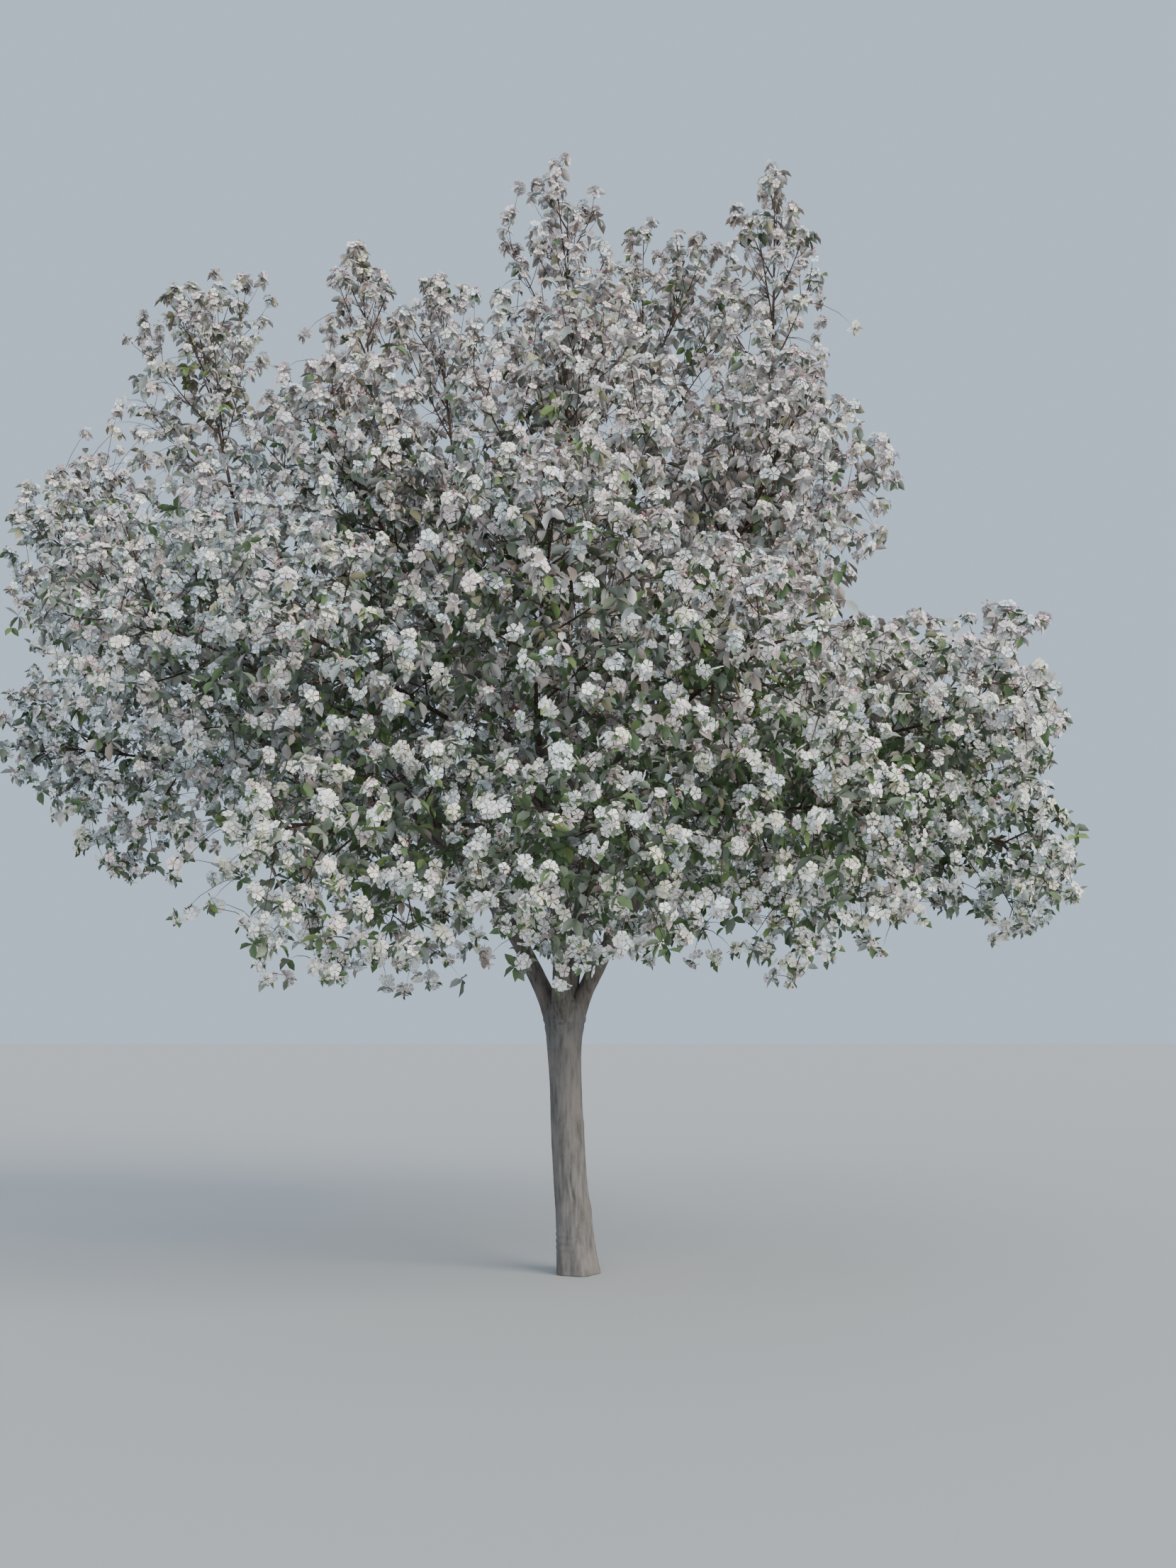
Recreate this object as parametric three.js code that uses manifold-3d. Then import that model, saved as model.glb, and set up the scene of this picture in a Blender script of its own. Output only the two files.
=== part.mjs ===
// A white blossom tree of medium size: a leaning trunk, five main boughs, the limbs that leave them,
// and the masses of flowering twigs that the limbs carry. Millimetres, +Z up. The origin is the centre
// of the flat cut under the trunk, +X is to the right of the tree's front and +Y points to its back.
// An azimuth turns from +X towards +Y, in degrees, and a lift is the angle above level.
import * as THREE from 'three';
import { mergeVertices } from 'three/addons/utils/BufferGeometryUtils.js';
import Module from 'manifold-3d';

const wasm = await Module();
wasm.setup();

// Driving sizes of the trunk
const FORK_HEIGHT = 1420;
const HEAD_HEIGHT = 1510;
const TRUNK_LEAN = 76;
const GROUND_RADIUS = 120;
const WAIST_RADIUS = 89;
const HEAD_RADIUS = 112;
const HEAD_SWELL_REACH = 190;
const HEAD_ROUNDING = 0.55;
const FOOT_TAPER = 9;
const TAPER_END = 0.7;
const FLARE_HEIGHT = 190;
const FLARE_LOBES = 5;
const FLARE_LOBE_DEPTH = 0.07;
const TRUNK_SIDES = 14;
const TRUNK_STEPS = 11;

// Driving sizes of the boughs and limbs
const BOUGH_FOOT_RADIUS = 52;
const BOUGH_TIP_RADIUS = 24;
const BOUGH_FOOT_RING = 44;
const BOUGH_FOOT_DEPTH = 60;
const BOUGH_SIDES = 7;
const BOUGH_STEPS = 5;
const LIMB_SHARE = 0.72;
const LIMB_TIP_RADIUS = 13;
const LIMB_SIDES = 5;
const LIMB_STEPS = 3;
const LEAVING_LEAN = 0.6;
const CURVE_REACH = 0.38;
const SEAT_GAP = 0.35;

// Driving sizes of the twigs and the sprays of flower and leaf
const STEM_SIDES = 4;
const STEM_STEPS = 2;
const STEM_SHARE = 0.9;
const STEM_TIP_RADIUS = 8;
const TWIG_SIDES = 3;
const TWIG_RADIUS = 8;
const TWIG_TIP_RADIUS = 6;
const FEWEST_TWIGS = 6;
const TWIGS_PER_BREADTH = 3;
const FIRST_TWIG = 0.1;
const LAST_TWIG = 0.92;
const GOLDEN_TURN = 137.508;
const LOW_TWIG_TILT = 74;
const HIGH_TWIG_TILT = 36;
const TILT_DRAW = 16;
const LOW_TWIG_LENGTH = 1.3;
const HIGH_TWIG_LENGTH = 0.8;
const SHORTEST_TWIG = 0.4;
const TWIG_SEARCH = 0.05;
const TWIG_TURNS = [0, 50, -50, 100, -100];
const MASS_TURN = 40;
const SPRAY_LENGTH = 0.78;
const SPRAY_WIDTH = 0.58;
const SPRAY_THICKNESS = 0.1;
const SPRAY_SIZES = [1.1, 0.95, 0.82, 0.7, 0.6];
const SPRAY_TURNS = [0, 72, 144, 216, 288];
const TIP_SPRAY_TILT = 30;
const TIP_SPRAY_SUNK = 0.3;
const SIDE_SPRAY_TILTS = [62, 96, 38];
const SIDE_SPRAY_SUNK = 3;
const SIDE_SPRAYS = [0.86, 0.4];
const SHORTEST_RUN = 0.3;
const RUN_STEP = 0.07;
const SPACE_MARGIN = 6;
const LIMB_MARGIN = 5;

// The main boughs: where each one heads, how far out and how high its tip lies, and its lift at each end
const BOUGHS = [
  { name: 'left', azimuth: 184, reach: 1420, height: 3020, lift: 69, tipLift: 36 },
  { name: 'right', azimuth: 357, reach: 1330, height: 2860, lift: 69, tipLift: 30 },
  { name: 'front', azimuth: 264, reach: 1080, height: 2780, lift: 67, tipLift: 38 },
  { name: 'back', azimuth: 94, reach: 1130, height: 2950, lift: 67, tipLift: 40 },
  { name: 'centre', azimuth: 20, reach: 230, height: 3900, lift: 80, tipLift: 84 },
];

// The masses: the name of each and of the bough that carries it, how far along the bough its limb leaves
// (1 is the bough's own tip), the azimuth, reach and height of its middle, the lift of its stem, and half
// its length and its breadth
const MASSES = [
  ['left_waist', 'left', 1, 184, 2230, 3420, 26, 900, 760],
  ['left_skirt', 'left', 0.5, 185, 2500, 2870, 6, 740, 580],
  ['far_left', 'left', 0.74, 176, 2830, 3880, 48, 800, 620],
  ['front_left_skirt', 'left', 0.3, 237, 1780, 2310, -6, 820, 700],
  ['front_left_waist', 'left', 0.64, 216, 2180, 3200, 18, 860, 760],
  ['back_left', 'left', 0.42, 138, 2160, 3150, 28, 980, 980],
  ['left_leader', 'left', 0.86, 168, 2400, 5220, 76, 880, 700],
  ['right_waist', 'right', 1, 357, 1930, 2910, 14, 840, 700],
  ['right_skirt', 'right', 0.7, 354, 2060, 2480, -16, 820, 620],
  ['front_right_skirt', 'right', 0.3, 307, 1780, 2400, -4, 820, 680],
  ['front_right_waist', 'right', 0.6, 328, 1900, 2850, 8, 840, 740],
  ['back_right', 'right', 0.42, 42, 2080, 3050, 28, 980, 980],
  ['right_shoulder', 'right', 0.86, 4, 1060, 4380, 70, 860, 510],
  ['front_waist', 'front', 1, 266, 1800, 3300, 30, 800, 720],
  ['front_skirt', 'front', 0.44, 277, 1480, 2310, -6, 860, 800],
  ['front_waist_left', 'front', 0.72, 240, 1980, 3020, 10, 740, 620],
  ['front_waist_right', 'front', 0.62, 290, 1900, 2960, 8, 760, 640],
  ['front_shoulder', 'front', 0.88, 268, 1200, 4210, 64, 840, 760],
  ['front_left_shoulder', 'front', 0.8, 229, 1460, 3820, 50, 800, 700],
  ['back_waist', 'back', 1, 92, 1850, 3450, 30, 820, 760],
  ['back_skirt', 'back', 0.46, 91, 1980, 2640, 4, 840, 820],
  ['back_right_shoulder', 'back', 0.76, 48, 1360, 4320, 62, 880, 780],
  ['back_left_shoulder', 'back', 0.86, 130, 1420, 4400, 62, 880, 780],
  ['top_middle', 'centre', 1, 40, 710, 5590, 84, 1040, 700],
  ['top_left', 'centre', 0.84, 259, 306, 5340, 88, 980, 540],
  ['right_leader', 'centre', 0.7, 342, 1210, 5410, 88, 1000, 400],
  ['middle_leader', 'centre', 0.62, 141, 1130, 5420, 80, 880, 480],
  ['tower', 'centre', 0.48, 199, 1270, 4980, 84, 840, 300],
  ['front_right_shoulder', 'centre', 0.42, 318, 1260, 4080, 58, 820, 700],
].map(([name, bough, at, azimuth, reach, height, lift, long, wide]) => (
  { name, bough, at, azimuth, reach, height, lift, long, wide }));

const radians = THREE.MathUtils.degToRad;
const UP = new THREE.Vector3(0, 0, 1);
const UPRIGHT = 0.95;

// A finish for each kind of sub-part
const TRUNK_BARK = { color: 0x7d6c63, roughness: 0.9, metalness: 0 };
const BOUGH_BARK = { color: 0x64574f, roughness: 0.9, metalness: 0 };
const LIMB_BARK = { color: 0x584b42, roughness: 0.88, metalness: 0 };
const BLOSSOM = { color: 0xc9cac4, roughness: 0.75, metalness: 0 };

// The same number between 0 and 1 every time for one key and one use
function draw(key, use) {
  const wave = Math.sin(key * 12.9898 + use * 78.233) * 43758.5453;
  return wave - Math.floor(wave);
}

const between = (low, high, share) => low + (high - low) * share;

// The unit vector at an azimuth and a lift
function heading(azimuth, lift) {
  const [a, l] = [radians(azimuth), radians(lift)];
  return new THREE.Vector3(Math.cos(a) * Math.cos(l), Math.sin(a) * Math.cos(l), Math.sin(l));
}

// A point given by azimuth, reach from the trunk's foot, and height
const place = (azimuth, reach, height) => heading(azimuth, 0).multiplyScalar(reach).setZ(height);

// The trunk's centre line leans left and straightens towards the fork
function trunkCentre(height) {
  const share = height / FORK_HEIGHT;
  return new THREE.Vector3(-TRUNK_LEAN * Math.sin(Math.min(share, 1) * Math.PI * 0.5), 0, height);
}

// Ground flare, waist, and the swollen head under the fork, which closes in a low dome
function trunkRadius(height, turn) {
  const flare = Math.exp(-height / FLARE_HEIGHT);
  const lobes = 1 + FLARE_LOBE_DEPTH * flare * Math.cos(FLARE_LOBES * turn);
  const body = WAIST_RADIUS + FOOT_TAPER * Math.max(1 - height / (FORK_HEIGHT * TAPER_END), 0);
  const swell = (HEAD_RADIUS - WAIST_RADIUS) * Math.exp(-(((height - FORK_HEIGHT) / HEAD_SWELL_REACH) ** 2));
  const rise = Math.max(height - FORK_HEIGHT, 0) / (HEAD_HEIGHT - FORK_HEIGHT);
  const dome = 1 - HEAD_ROUNDING * rise ** 2;
  return (body + (GROUND_RADIUS - body) * flare + swell) * lobes * dome;
}

// A round limb bent along a curve: a cylinder whose rings ride on the curve, square to it, and whose
// ends may stand past the curve's ends by a margin
function limbGeometry(curve, radiusAt, sides, steps, past = 0) {
  const geometry = new THREE.CylinderGeometry(1, 1, 1, sides, steps);
  const frames = curve.computeFrenetFrames(steps, false);
  const points = frames.tangents.map((_, i) => curve.getPointAt(i / steps));
  points[0].addScaledVector(frames.tangents[0], -past);
  points[steps].addScaledVector(frames.tangents[steps], past);
  const at = geometry.getAttribute('position');
  for (let i = 0; i < at.count; i++) {
    const ring = Math.round((at.getY(i) + 0.5) * steps);
    const turn = Math.atan2(at.getX(i), at.getZ(i));
    const radius = radiusAt(ring / steps, turn) * Math.hypot(at.getX(i), at.getZ(i));
    const point = points[ring].clone()
      .addScaledVector(frames.normals[ring], Math.cos(turn) * radius)
      .addScaledVector(frames.binormals[ring], Math.sin(turn) * radius);
    at.setXYZ(i, point.x, point.y, point.z);
  }
  return geometry;
}

// A closed geometry as a solid that can be joined and cut, with its faces turned outwards
function solidOf(geometry) {
  const bare = geometry.clone();
  bare.deleteAttribute('normal');
  bare.deleteAttribute('uv');
  const merged = mergeVertices(bare, 1e-3);
  const make = (triVerts) => new wasm.Manifold(
    new wasm.Mesh({ numProp: 3, vertProperties: merged.attributes.position.array, triVerts }));
  const corners = new Uint32Array(merged.index.array);
  const made = make(corners);
  if (made.volume() > 0) return made;
  for (let i = 0; i < corners.length; i += 3) {
    [corners[i + 1], corners[i + 2]] = [corners[i + 2], corners[i + 1]];
  }
  return make(corners);
}

// The solid's largest body as a drawable geometry
function geometryOf(solid) {
  const whole = solid.decompose().reduce((a, b) => (b.volume() > a.volume() ? b : a));
  const mesh = whole.getMesh();
  const geometry = new THREE.BufferGeometry();
  geometry.setAttribute('position', new THREE.BufferAttribute(mesh.vertProperties, 3));
  geometry.setIndex(new THREE.BufferAttribute(mesh.triVerts, 1));
  geometry.computeVertexNormals();
  return geometry;
}

// A smooth curve that leaves one point in one direction and meets another in another
function sweep(from, leave, to, arrive) {
  const handle = from.distanceTo(to) * CURVE_REACH;
  return new THREE.CubicBezierCurve3(
    from, from.clone().addScaledVector(leave, handle), to.clone().addScaledVector(arrive, -handle), to);
}

// A limb's solid, and a copy that is wider by a margin, which cuts or tests what comes near
function limbSolids(curve, footRadius, tipRadius, sides, steps, margin) {
  const skin = (extra) => extra / Math.cos(Math.PI / sides);
  const taper = (extra) => (share) => between(footRadius, tipRadius, share) + skin(extra);
  return {
    solid: solidOf(limbGeometry(curve, taper(0), sides, steps)),
    wide: solidOf(limbGeometry(curve, taper(margin), sides, steps, margin)),
  };
}

// The trunk, and the same trunk a little wider for cutting the boughs' feet
function makeTrunk() {
  const heights = Array.from({ length: 9 }, (_, i) => trunkCentre((i / 8) * HEAD_HEIGHT));
  const line = new THREE.CatmullRomCurve3(heights);
  const rings = new THREE.CylinderGeometry(1, 1, 1, TRUNK_SIDES, TRUNK_STEPS);
  const shaped = (extra) => {
    const geometry = rings.clone();
    const at = geometry.getAttribute('position');
    for (let i = 0; i < at.count; i++) {
      const height = (at.getY(i) + 0.5) ** 1.15 * (HEAD_HEIGHT + extra);
      const turn = Math.atan2(at.getX(i), at.getZ(i));
      const rim = Math.hypot(at.getX(i), at.getZ(i));
      const radius = (trunkRadius(Math.min(height, HEAD_HEIGHT), turn) + extra) * rim;
      const centre = line.getPoint(Math.min(height / HEAD_HEIGHT, 1));
      at.setXYZ(i, centre.x + Math.cos(turn) * radius, centre.y + Math.sin(turn) * radius, height);
    }
    return geometry;
  };
  return { solid: solidOf(shaped(0)), wide: solidOf(shaped(SEAT_GAP)) };
}

// The main bough's curve, from inside the trunk's head to its tip
function boughCurve(bough) {
  const ring = bough.name === 'centre' ? 0 : BOUGH_FOOT_RING;
  const foot = trunkCentre(FORK_HEIGHT).add(place(bough.azimuth, ring, -BOUGH_FOOT_DEPTH));
  const tip = trunkCentre(FORK_HEIGHT).setZ(0).add(place(bough.azimuth, bough.reach, bough.height));
  return sweep(foot, heading(bough.azimuth, bough.lift), tip, heading(bough.azimuth, bough.tipLift));
}

// The middle of a mass, and the direction of its stem. The mass on a bough's own tip follows the bough.
function massFrame(mass, boughCurves) {
  const centre = place(mass.azimuth, mass.reach, mass.height);
  if (mass.at < 1) {
    const axis = heading(mass.azimuth, mass.lift);
    return { ...mass, centre, axis, foot: centre.clone().addScaledVector(axis, -mass.long * STEM_SHARE) };
  }
  const curve = boughCurves[mass.bough];
  return { ...mass, centre, foot: curve.getPoint(1), axis: curve.getTangent(1) };
}

// The limb that carries a mass leaves its bough part of the way along and ends at the mass's foot
function limbCurve(mass, bough) {
  const from = bough.getPoint(mass.at);
  const aim = mass.foot.clone().sub(from).normalize();
  const leave = bough.getTangent(mass.at).multiplyScalar(LEAVING_LEAN).add(aim).normalize();
  return sweep(from, leave, mass.foot, mass.axis);
}

// The stem runs from the limb's tip, a seat gap clear, to near the far end of the mass
function stemCurve(mass) {
  const from = mass.foot.clone().addScaledVector(mass.axis, SEAT_GAP);
  const axis = mass.centre.clone().sub(mass.foot).normalize();
  const to = mass.centre.clone().addScaledVector(axis, mass.long * STEM_SHARE);
  return sweep(from, mass.axis, to, axis);
}

// Whether a point lies in the mass's own space: inside its egg, and on its own side of every
// neighbour, where the dividing plane of two masses lies nearer the narrower one
function insideSpace(mass, all, point) {
  const away = point.clone().sub(mass.centre);
  const along = away.dot(mass.stemAxis);
  const across = Math.sqrt(Math.max(away.lengthSq() - along * along, 0));
  if ((along / mass.long) ** 2 + (across / mass.wide) ** 2 > 1) return false;
  return all.every((other) => {
    if (other === mass) return true;
    const to = other.centre.clone().sub(mass.centre);
    const gap = to.length();
    const plane = (gap * gap + mass.wide ** 2 - other.wide ** 2) / (2 * gap);
    return away.dot(to) / gap <= plane - SPACE_MARGIN;
  });
}

// A direction that leans away from a parent's by a tilt, turned about it by a turn
function leanFrom(parent, tilt, turn) {
  const across = Math.abs(parent.z) > UPRIGHT ? new THREE.Vector3(1, 0, 0) : UP;
  const side = new THREE.Vector3().crossVectors(parent, across).normalize();
  side.applyAxisAngle(parent, radians(turn)).multiplyScalar(Math.sin(radians(tilt)));
  return side.addScaledVector(parent, Math.cos(radians(tilt)));
}

// The longest run from a point that ends in the space, or 0
function runInside(mass, all, from, way, wanted) {
  for (let share = 1; share >= SHORTEST_RUN; share -= RUN_STEP) {
    const end = from.clone().addScaledVector(way, wanted * share);
    if (insideSpace(mass, all, end)) return wanted * share;
  }
  return 0;
}

// A spray of flower and leaf as one thin leaf of eight faces, from its root along its way. Its broad
// faces look towards the part of the facing that is square to its way.
function sprayGeometry({ root, way, facing }, size) {
  const normal = facing.clone().addScaledVector(way, -facing.dot(way)).normalize();
  const breadth = new THREE.Vector3().crossVectors(normal, way).multiplyScalar(SPRAY_WIDTH * 0.5 * size);
  const length = way.clone().multiplyScalar(SPRAY_LENGTH * 0.5 * size);
  normal.multiplyScalar(SPRAY_THICKNESS * 0.5 * size);
  const placed = new THREE.Matrix4().makeBasis(breadth, normal, length);
  return new THREE.OctahedronGeometry(1, 0).applyMatrix4(placed.setPosition(root.clone().add(length)));
}

// Whether every corner of a geometry lies in the mass's space
function cornersInside(geometry, mass, all) {
  const at = geometry.getAttribute('position');
  const corner = new THREE.Vector3();
  for (let i = 0; i < at.count; i++) {
    if (!insideSpace(mass, all, corner.fromBufferAttribute(at, i))) return false;
  }
  return true;
}

// The places where a spray could stand at the end of a shoot, which sinks into its broad face
const tipPlaces = (end, shoot, key) => (size) => SPRAY_TURNS.map((turn) => {
  const way = leanFrom(shoot, TIP_SPRAY_TILT, key * 100 + turn);
  const root = end.clone().addScaledVector(way, -SPRAY_LENGTH * size * TIP_SPRAY_SUNK);
  return { root, way, facing: shoot };
});

// The places where a spray could stand on the side of a twig, with its root past the twig's centre
const sidePlaces = (point, shoot, key) => () => SIDE_SPRAY_TILTS.flatMap((tilt) => (
  SPRAY_TURNS.map((turn) => {
    const way = leanFrom(shoot, tilt, key * 100 + turn);
    const root = point.clone().addScaledVector(way, -SIDE_SPRAY_SUNK);
    return { root, way, facing: new THREE.Vector3().crossVectors(shoot, way) };
  })));

// One mass while it grows: what it holds so far, and what it may not touch
class Growth {
  constructor(mass, all, limbs) {
    this.mass = mass;
    this.all = all;
    this.number = all.indexOf(mass) + 1;
    this.near = limbs.filter((limb) => limb !== mass.stem && limb.reachBox.intersectsSphere(mass.ball));
    this.pieces = [mass.stem.solid];
    this.sprays = [];
  }

  clear(solid) {
    return this.near.every((limb) => limb.wide.intersect(solid).isEmpty());
  }

  // Adds the largest spray that keeps to the space, off the limbs and off the other sprays
  addSpray(places) {
    for (const share of SPRAY_SIZES) {
      const size = share * this.mass.wide;
      for (const spot of places(size)) {
        const geometry = sprayGeometry(spot, size);
        if (!cornersInside(geometry, this.mass, this.all)) continue;
        const solid = solidOf(geometry);
        if (!this.clear(solid) || !this.sprays.every((other) => other.intersect(solid).isEmpty())) continue;
        this.sprays.push(solid);
        this.pieces.push(solid);
        return true;
      }
    }
    return false;
  }

  // Adds a twig with a spray at its end and others on its sides, unless its tip spray has no room
  addTwig(from, way, wanted, key) {
    const { mass, all } = this;
    const run = runInside(mass, all, from, way, wanted);
    if (run === 0) return false;
    const spare = SPRAY_LENGTH * mass.wide * (1 - TIP_SPRAY_SUNK);
    const to = from.clone().addScaledVector(way, Math.max(run - spare, run * SHORTEST_TWIG));
    const taper = (at) => between(TWIG_RADIUS, TWIG_TIP_RADIUS, at);
    const twig = solidOf(limbGeometry(new THREE.LineCurve3(from, to), taper, TWIG_SIDES, 1));
    if (!this.clear(twig) || !this.addSpray(tipPlaces(to, way, draw(key, 3)))) return false;
    this.pieces.push(twig);
    SIDE_SPRAYS.forEach((at, i) => {
      this.addSpray(sidePlaces(from.clone().lerp(to, at), way, draw(key, 4 + i)));
    });
    return true;
  }

  // Where along the stem its first twig leaves: the first place that lies in the space
  firstTwig() {
    let first = FIRST_TWIG;
    while (first < 0.5 && !insideSpace(this.mass, this.all, this.mass.stemLine.getPoint(first))) {
      first += TWIG_SEARCH;
    }
    return first;
  }

  // Twigs leave the stem by the golden turn, long and wide of it low down, short and close at its tip
  run() {
    const { mass, number } = this;
    this.addSpray(tipPlaces(mass.stemLine.getPoint(1), mass.stemAxis, draw(number, 0)));
    const count = Math.max(FEWEST_TWIGS, Math.round(TWIGS_PER_BREADTH * mass.long / mass.wide));
    const first = this.firstTwig();
    for (let i = 0; i < count; i++) {
      const key = number * 100 + i;
      const share = between(first, LAST_TWIG, i / (count - 1));
      const tilt = between(LOW_TWIG_TILT, HIGH_TWIG_TILT, share) + TILT_DRAW * (draw(key, 1) - 0.5);
      const wanted = mass.wide * between(LOW_TWIG_LENGTH, HIGH_TWIG_LENGTH, share)
        * between(0.9, 1.1, draw(key, 2));
      TWIG_TURNS.some((turn) => {
        const turned = i * GOLDEN_TURN + number * MASS_TURN + turn;
        const way = leanFrom(mass.stemLine.getTangent(share), tilt, turned);
        return this.addTwig(mass.stemLine.getPoint(share), way, wanted, key);
      });
    }
    return wasm.Manifold.union(this.pieces);
  }
}

const tree = new THREE.Group();

// Adds one named sub-part with its own material
function addPart(name, solid, finish) {
  const mesh = new THREE.Mesh(geometryOf(solid), new THREE.MeshStandardMaterial(finish));
  mesh.name = name;
  tree.add(mesh);
}

const trunk = makeTrunk();
addPart('trunk', trunk.solid, TRUNK_BARK);

const limbs = [trunk];
const boughCurves = {};
for (const bough of BOUGHS) {
  const curve = boughCurve(bough);
  boughCurves[bough.name] = curve;
  const made = limbSolids(curve, BOUGH_FOOT_RADIUS, BOUGH_TIP_RADIUS, BOUGH_SIDES, BOUGH_STEPS, SEAT_GAP);
  const cut = limbs.reduce((solid, other) => solid.subtract(other.wide), made.solid);
  addPart('bough_' + bough.name, cut, BOUGH_BARK);
  limbs.push({ ...made, name: bough.name });
}

const masses = MASSES.map((mass) => massFrame(mass, boughCurves));
for (const mass of masses.filter((one) => one.at < 1)) {
  const bough = boughCurves[mass.bough];
  const footRadius = between(BOUGH_FOOT_RADIUS, BOUGH_TIP_RADIUS, mass.at) * LIMB_SHARE;
  const curve = limbCurve(mass, bough);
  const made = limbSolids(curve, footRadius, LIMB_TIP_RADIUS, LIMB_SIDES, LIMB_STEPS, SEAT_GAP);
  const parent = limbs.find((limb) => limb.name === mass.bough);
  addPart('limb_' + mass.name, made.solid.subtract(parent.wide), LIMB_BARK);
  limbs.push({ ...made, name: 'limb_' + mass.name });
}

for (const mass of masses) {
  mass.stemLine = stemCurve(mass);
  mass.stemAxis = mass.centre.clone().sub(mass.foot).normalize();
  mass.ball = new THREE.Sphere(mass.centre, Math.max(mass.long, mass.wide));
  const footRadius = mass.at < 1 ? LIMB_TIP_RADIUS : BOUGH_TIP_RADIUS;
  mass.stem = limbSolids(mass.stemLine, footRadius, STEM_TIP_RADIUS, STEM_SIDES, STEM_STEPS, LIMB_MARGIN);
  limbs.push(mass.stem);
}
for (const limb of limbs) {
  const box = limb.wide.boundingBox();
  limb.reachBox = new THREE.Box3(new THREE.Vector3(...box.min), new THREE.Vector3(...box.max));
}
for (const mass of masses) {
  addPart('blossom_' + mass.name, new Growth(mass, masses, limbs).run(), BLOSSOM);
}

export default tree;
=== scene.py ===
"""A white blossom tree of medium size, dressed over its CAD frame.

The trunk, boughs and limbs get bark with relief. Each mass of the crown grows anew from its stem by the
rule that its solid was grown by, carried on to finer shoots, spurs, leaves, buds and open flowers.
Metres, +Z up. An azimuth turns from +X towards +Y in degrees, and a lift is the angle above level.
"""

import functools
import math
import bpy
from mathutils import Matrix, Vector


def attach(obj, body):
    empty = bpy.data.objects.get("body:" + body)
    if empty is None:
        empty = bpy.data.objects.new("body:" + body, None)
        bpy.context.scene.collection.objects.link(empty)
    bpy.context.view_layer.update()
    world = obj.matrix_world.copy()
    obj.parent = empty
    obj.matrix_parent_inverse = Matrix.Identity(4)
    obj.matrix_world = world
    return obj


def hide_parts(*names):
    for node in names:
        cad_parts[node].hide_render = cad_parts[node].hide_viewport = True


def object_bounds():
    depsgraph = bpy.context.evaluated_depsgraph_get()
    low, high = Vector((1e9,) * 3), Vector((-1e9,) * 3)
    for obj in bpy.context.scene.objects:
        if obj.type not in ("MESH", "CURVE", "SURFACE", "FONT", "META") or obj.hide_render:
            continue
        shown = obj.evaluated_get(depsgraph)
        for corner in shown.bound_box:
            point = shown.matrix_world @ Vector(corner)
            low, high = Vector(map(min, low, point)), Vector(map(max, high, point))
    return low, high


bl_info = {
    "name": "White blossom tree",
    "version": (1, 0, 0),
    "blender": (4, 5, 0),
    "location": "View3D > Sidebar > Blossom tree",
    "description": "Bark, twigs, leaves and blossom of a white blossom tree, and its studio stage",
    "category": "Add Mesh",
}

import bpy
import numpy as np

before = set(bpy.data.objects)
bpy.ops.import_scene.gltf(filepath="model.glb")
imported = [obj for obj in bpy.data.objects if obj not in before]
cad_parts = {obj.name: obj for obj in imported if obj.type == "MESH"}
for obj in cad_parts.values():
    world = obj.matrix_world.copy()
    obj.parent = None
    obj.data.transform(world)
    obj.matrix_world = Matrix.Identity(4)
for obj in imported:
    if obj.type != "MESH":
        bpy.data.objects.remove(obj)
CAD_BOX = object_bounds()
BODY = "root"

# The axes that frames are turned from
UP = np.array([0, 0, 1.0])
EAST = np.array([1.0, 0, 0])

# The trunk, as the solid has it
FORK_HEIGHT = 1.42
HEAD_HEIGHT = 1.51
TRUNK_LEAN = 0.076
GROUND_RADIUS = 0.120
WAIST_RADIUS = 0.089
HEAD_RADIUS = 0.112
HEAD_SWELL_REACH = 0.190
FOOT_TAPER = 0.009
TAPER_END = 0.7
FLARE_HEIGHT = 0.190
FLARE_LOBES = 5
FLARE_LOBE_DEPTH = 0.07

# The boughs and limbs, as the solids have them
BOUGH_FOOT_RADIUS = 0.052
BOUGH_TIP_RADIUS = 0.024
BOUGH_FOOT_RING = 0.044
BOUGH_FOOT_DEPTH = 0.060
LIMB_SHARE = 0.72
LIMB_TIP_RADIUS = 0.013
LEAVING_LEAN = 0.6
CURVE_REACH = 0.38
STEM_SHARE = 0.9

# The rule that each mass grows its twigs by, as the solids have it: shares of the stem, tilts in degrees,
# and lengths as shares of the mass's breadth, or in a leader's fan of its half length. The first twig
# stands at the first share, step by step, that lies in the mass's space.
FIRST_TWIG = 0.1
FIRST_TWIG_STEP = 0.05
FIRST_TWIG_LIMIT = 0.5
LAST_TWIG = 0.92
GOLDEN_TURN = 137.508
MASS_TURN = 40
TWIG_TILTS = (74, 36)
TILT_DRAW = 16
TWIG_LENGTHS = (1.3, 0.8)
LEADER_LIFTS = (60, 78)
FAN_TILTS = (44, 22)
FAN_LENGTHS = (1.3, 0.6)
SPACE_MARGIN = 0.006

# The upward share over which a way counts as upright: for sprays and shoots, thin tubes, and limbs
UPRIGHT = 0.95
UPRIGHT_TUBE = 0.8
UPRIGHT_LIMB = 0.6

# How far the crown's outline swells and draws in, and how closely
RAGGED = 0.20
RAGGED_SCALE = 5.5

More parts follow.
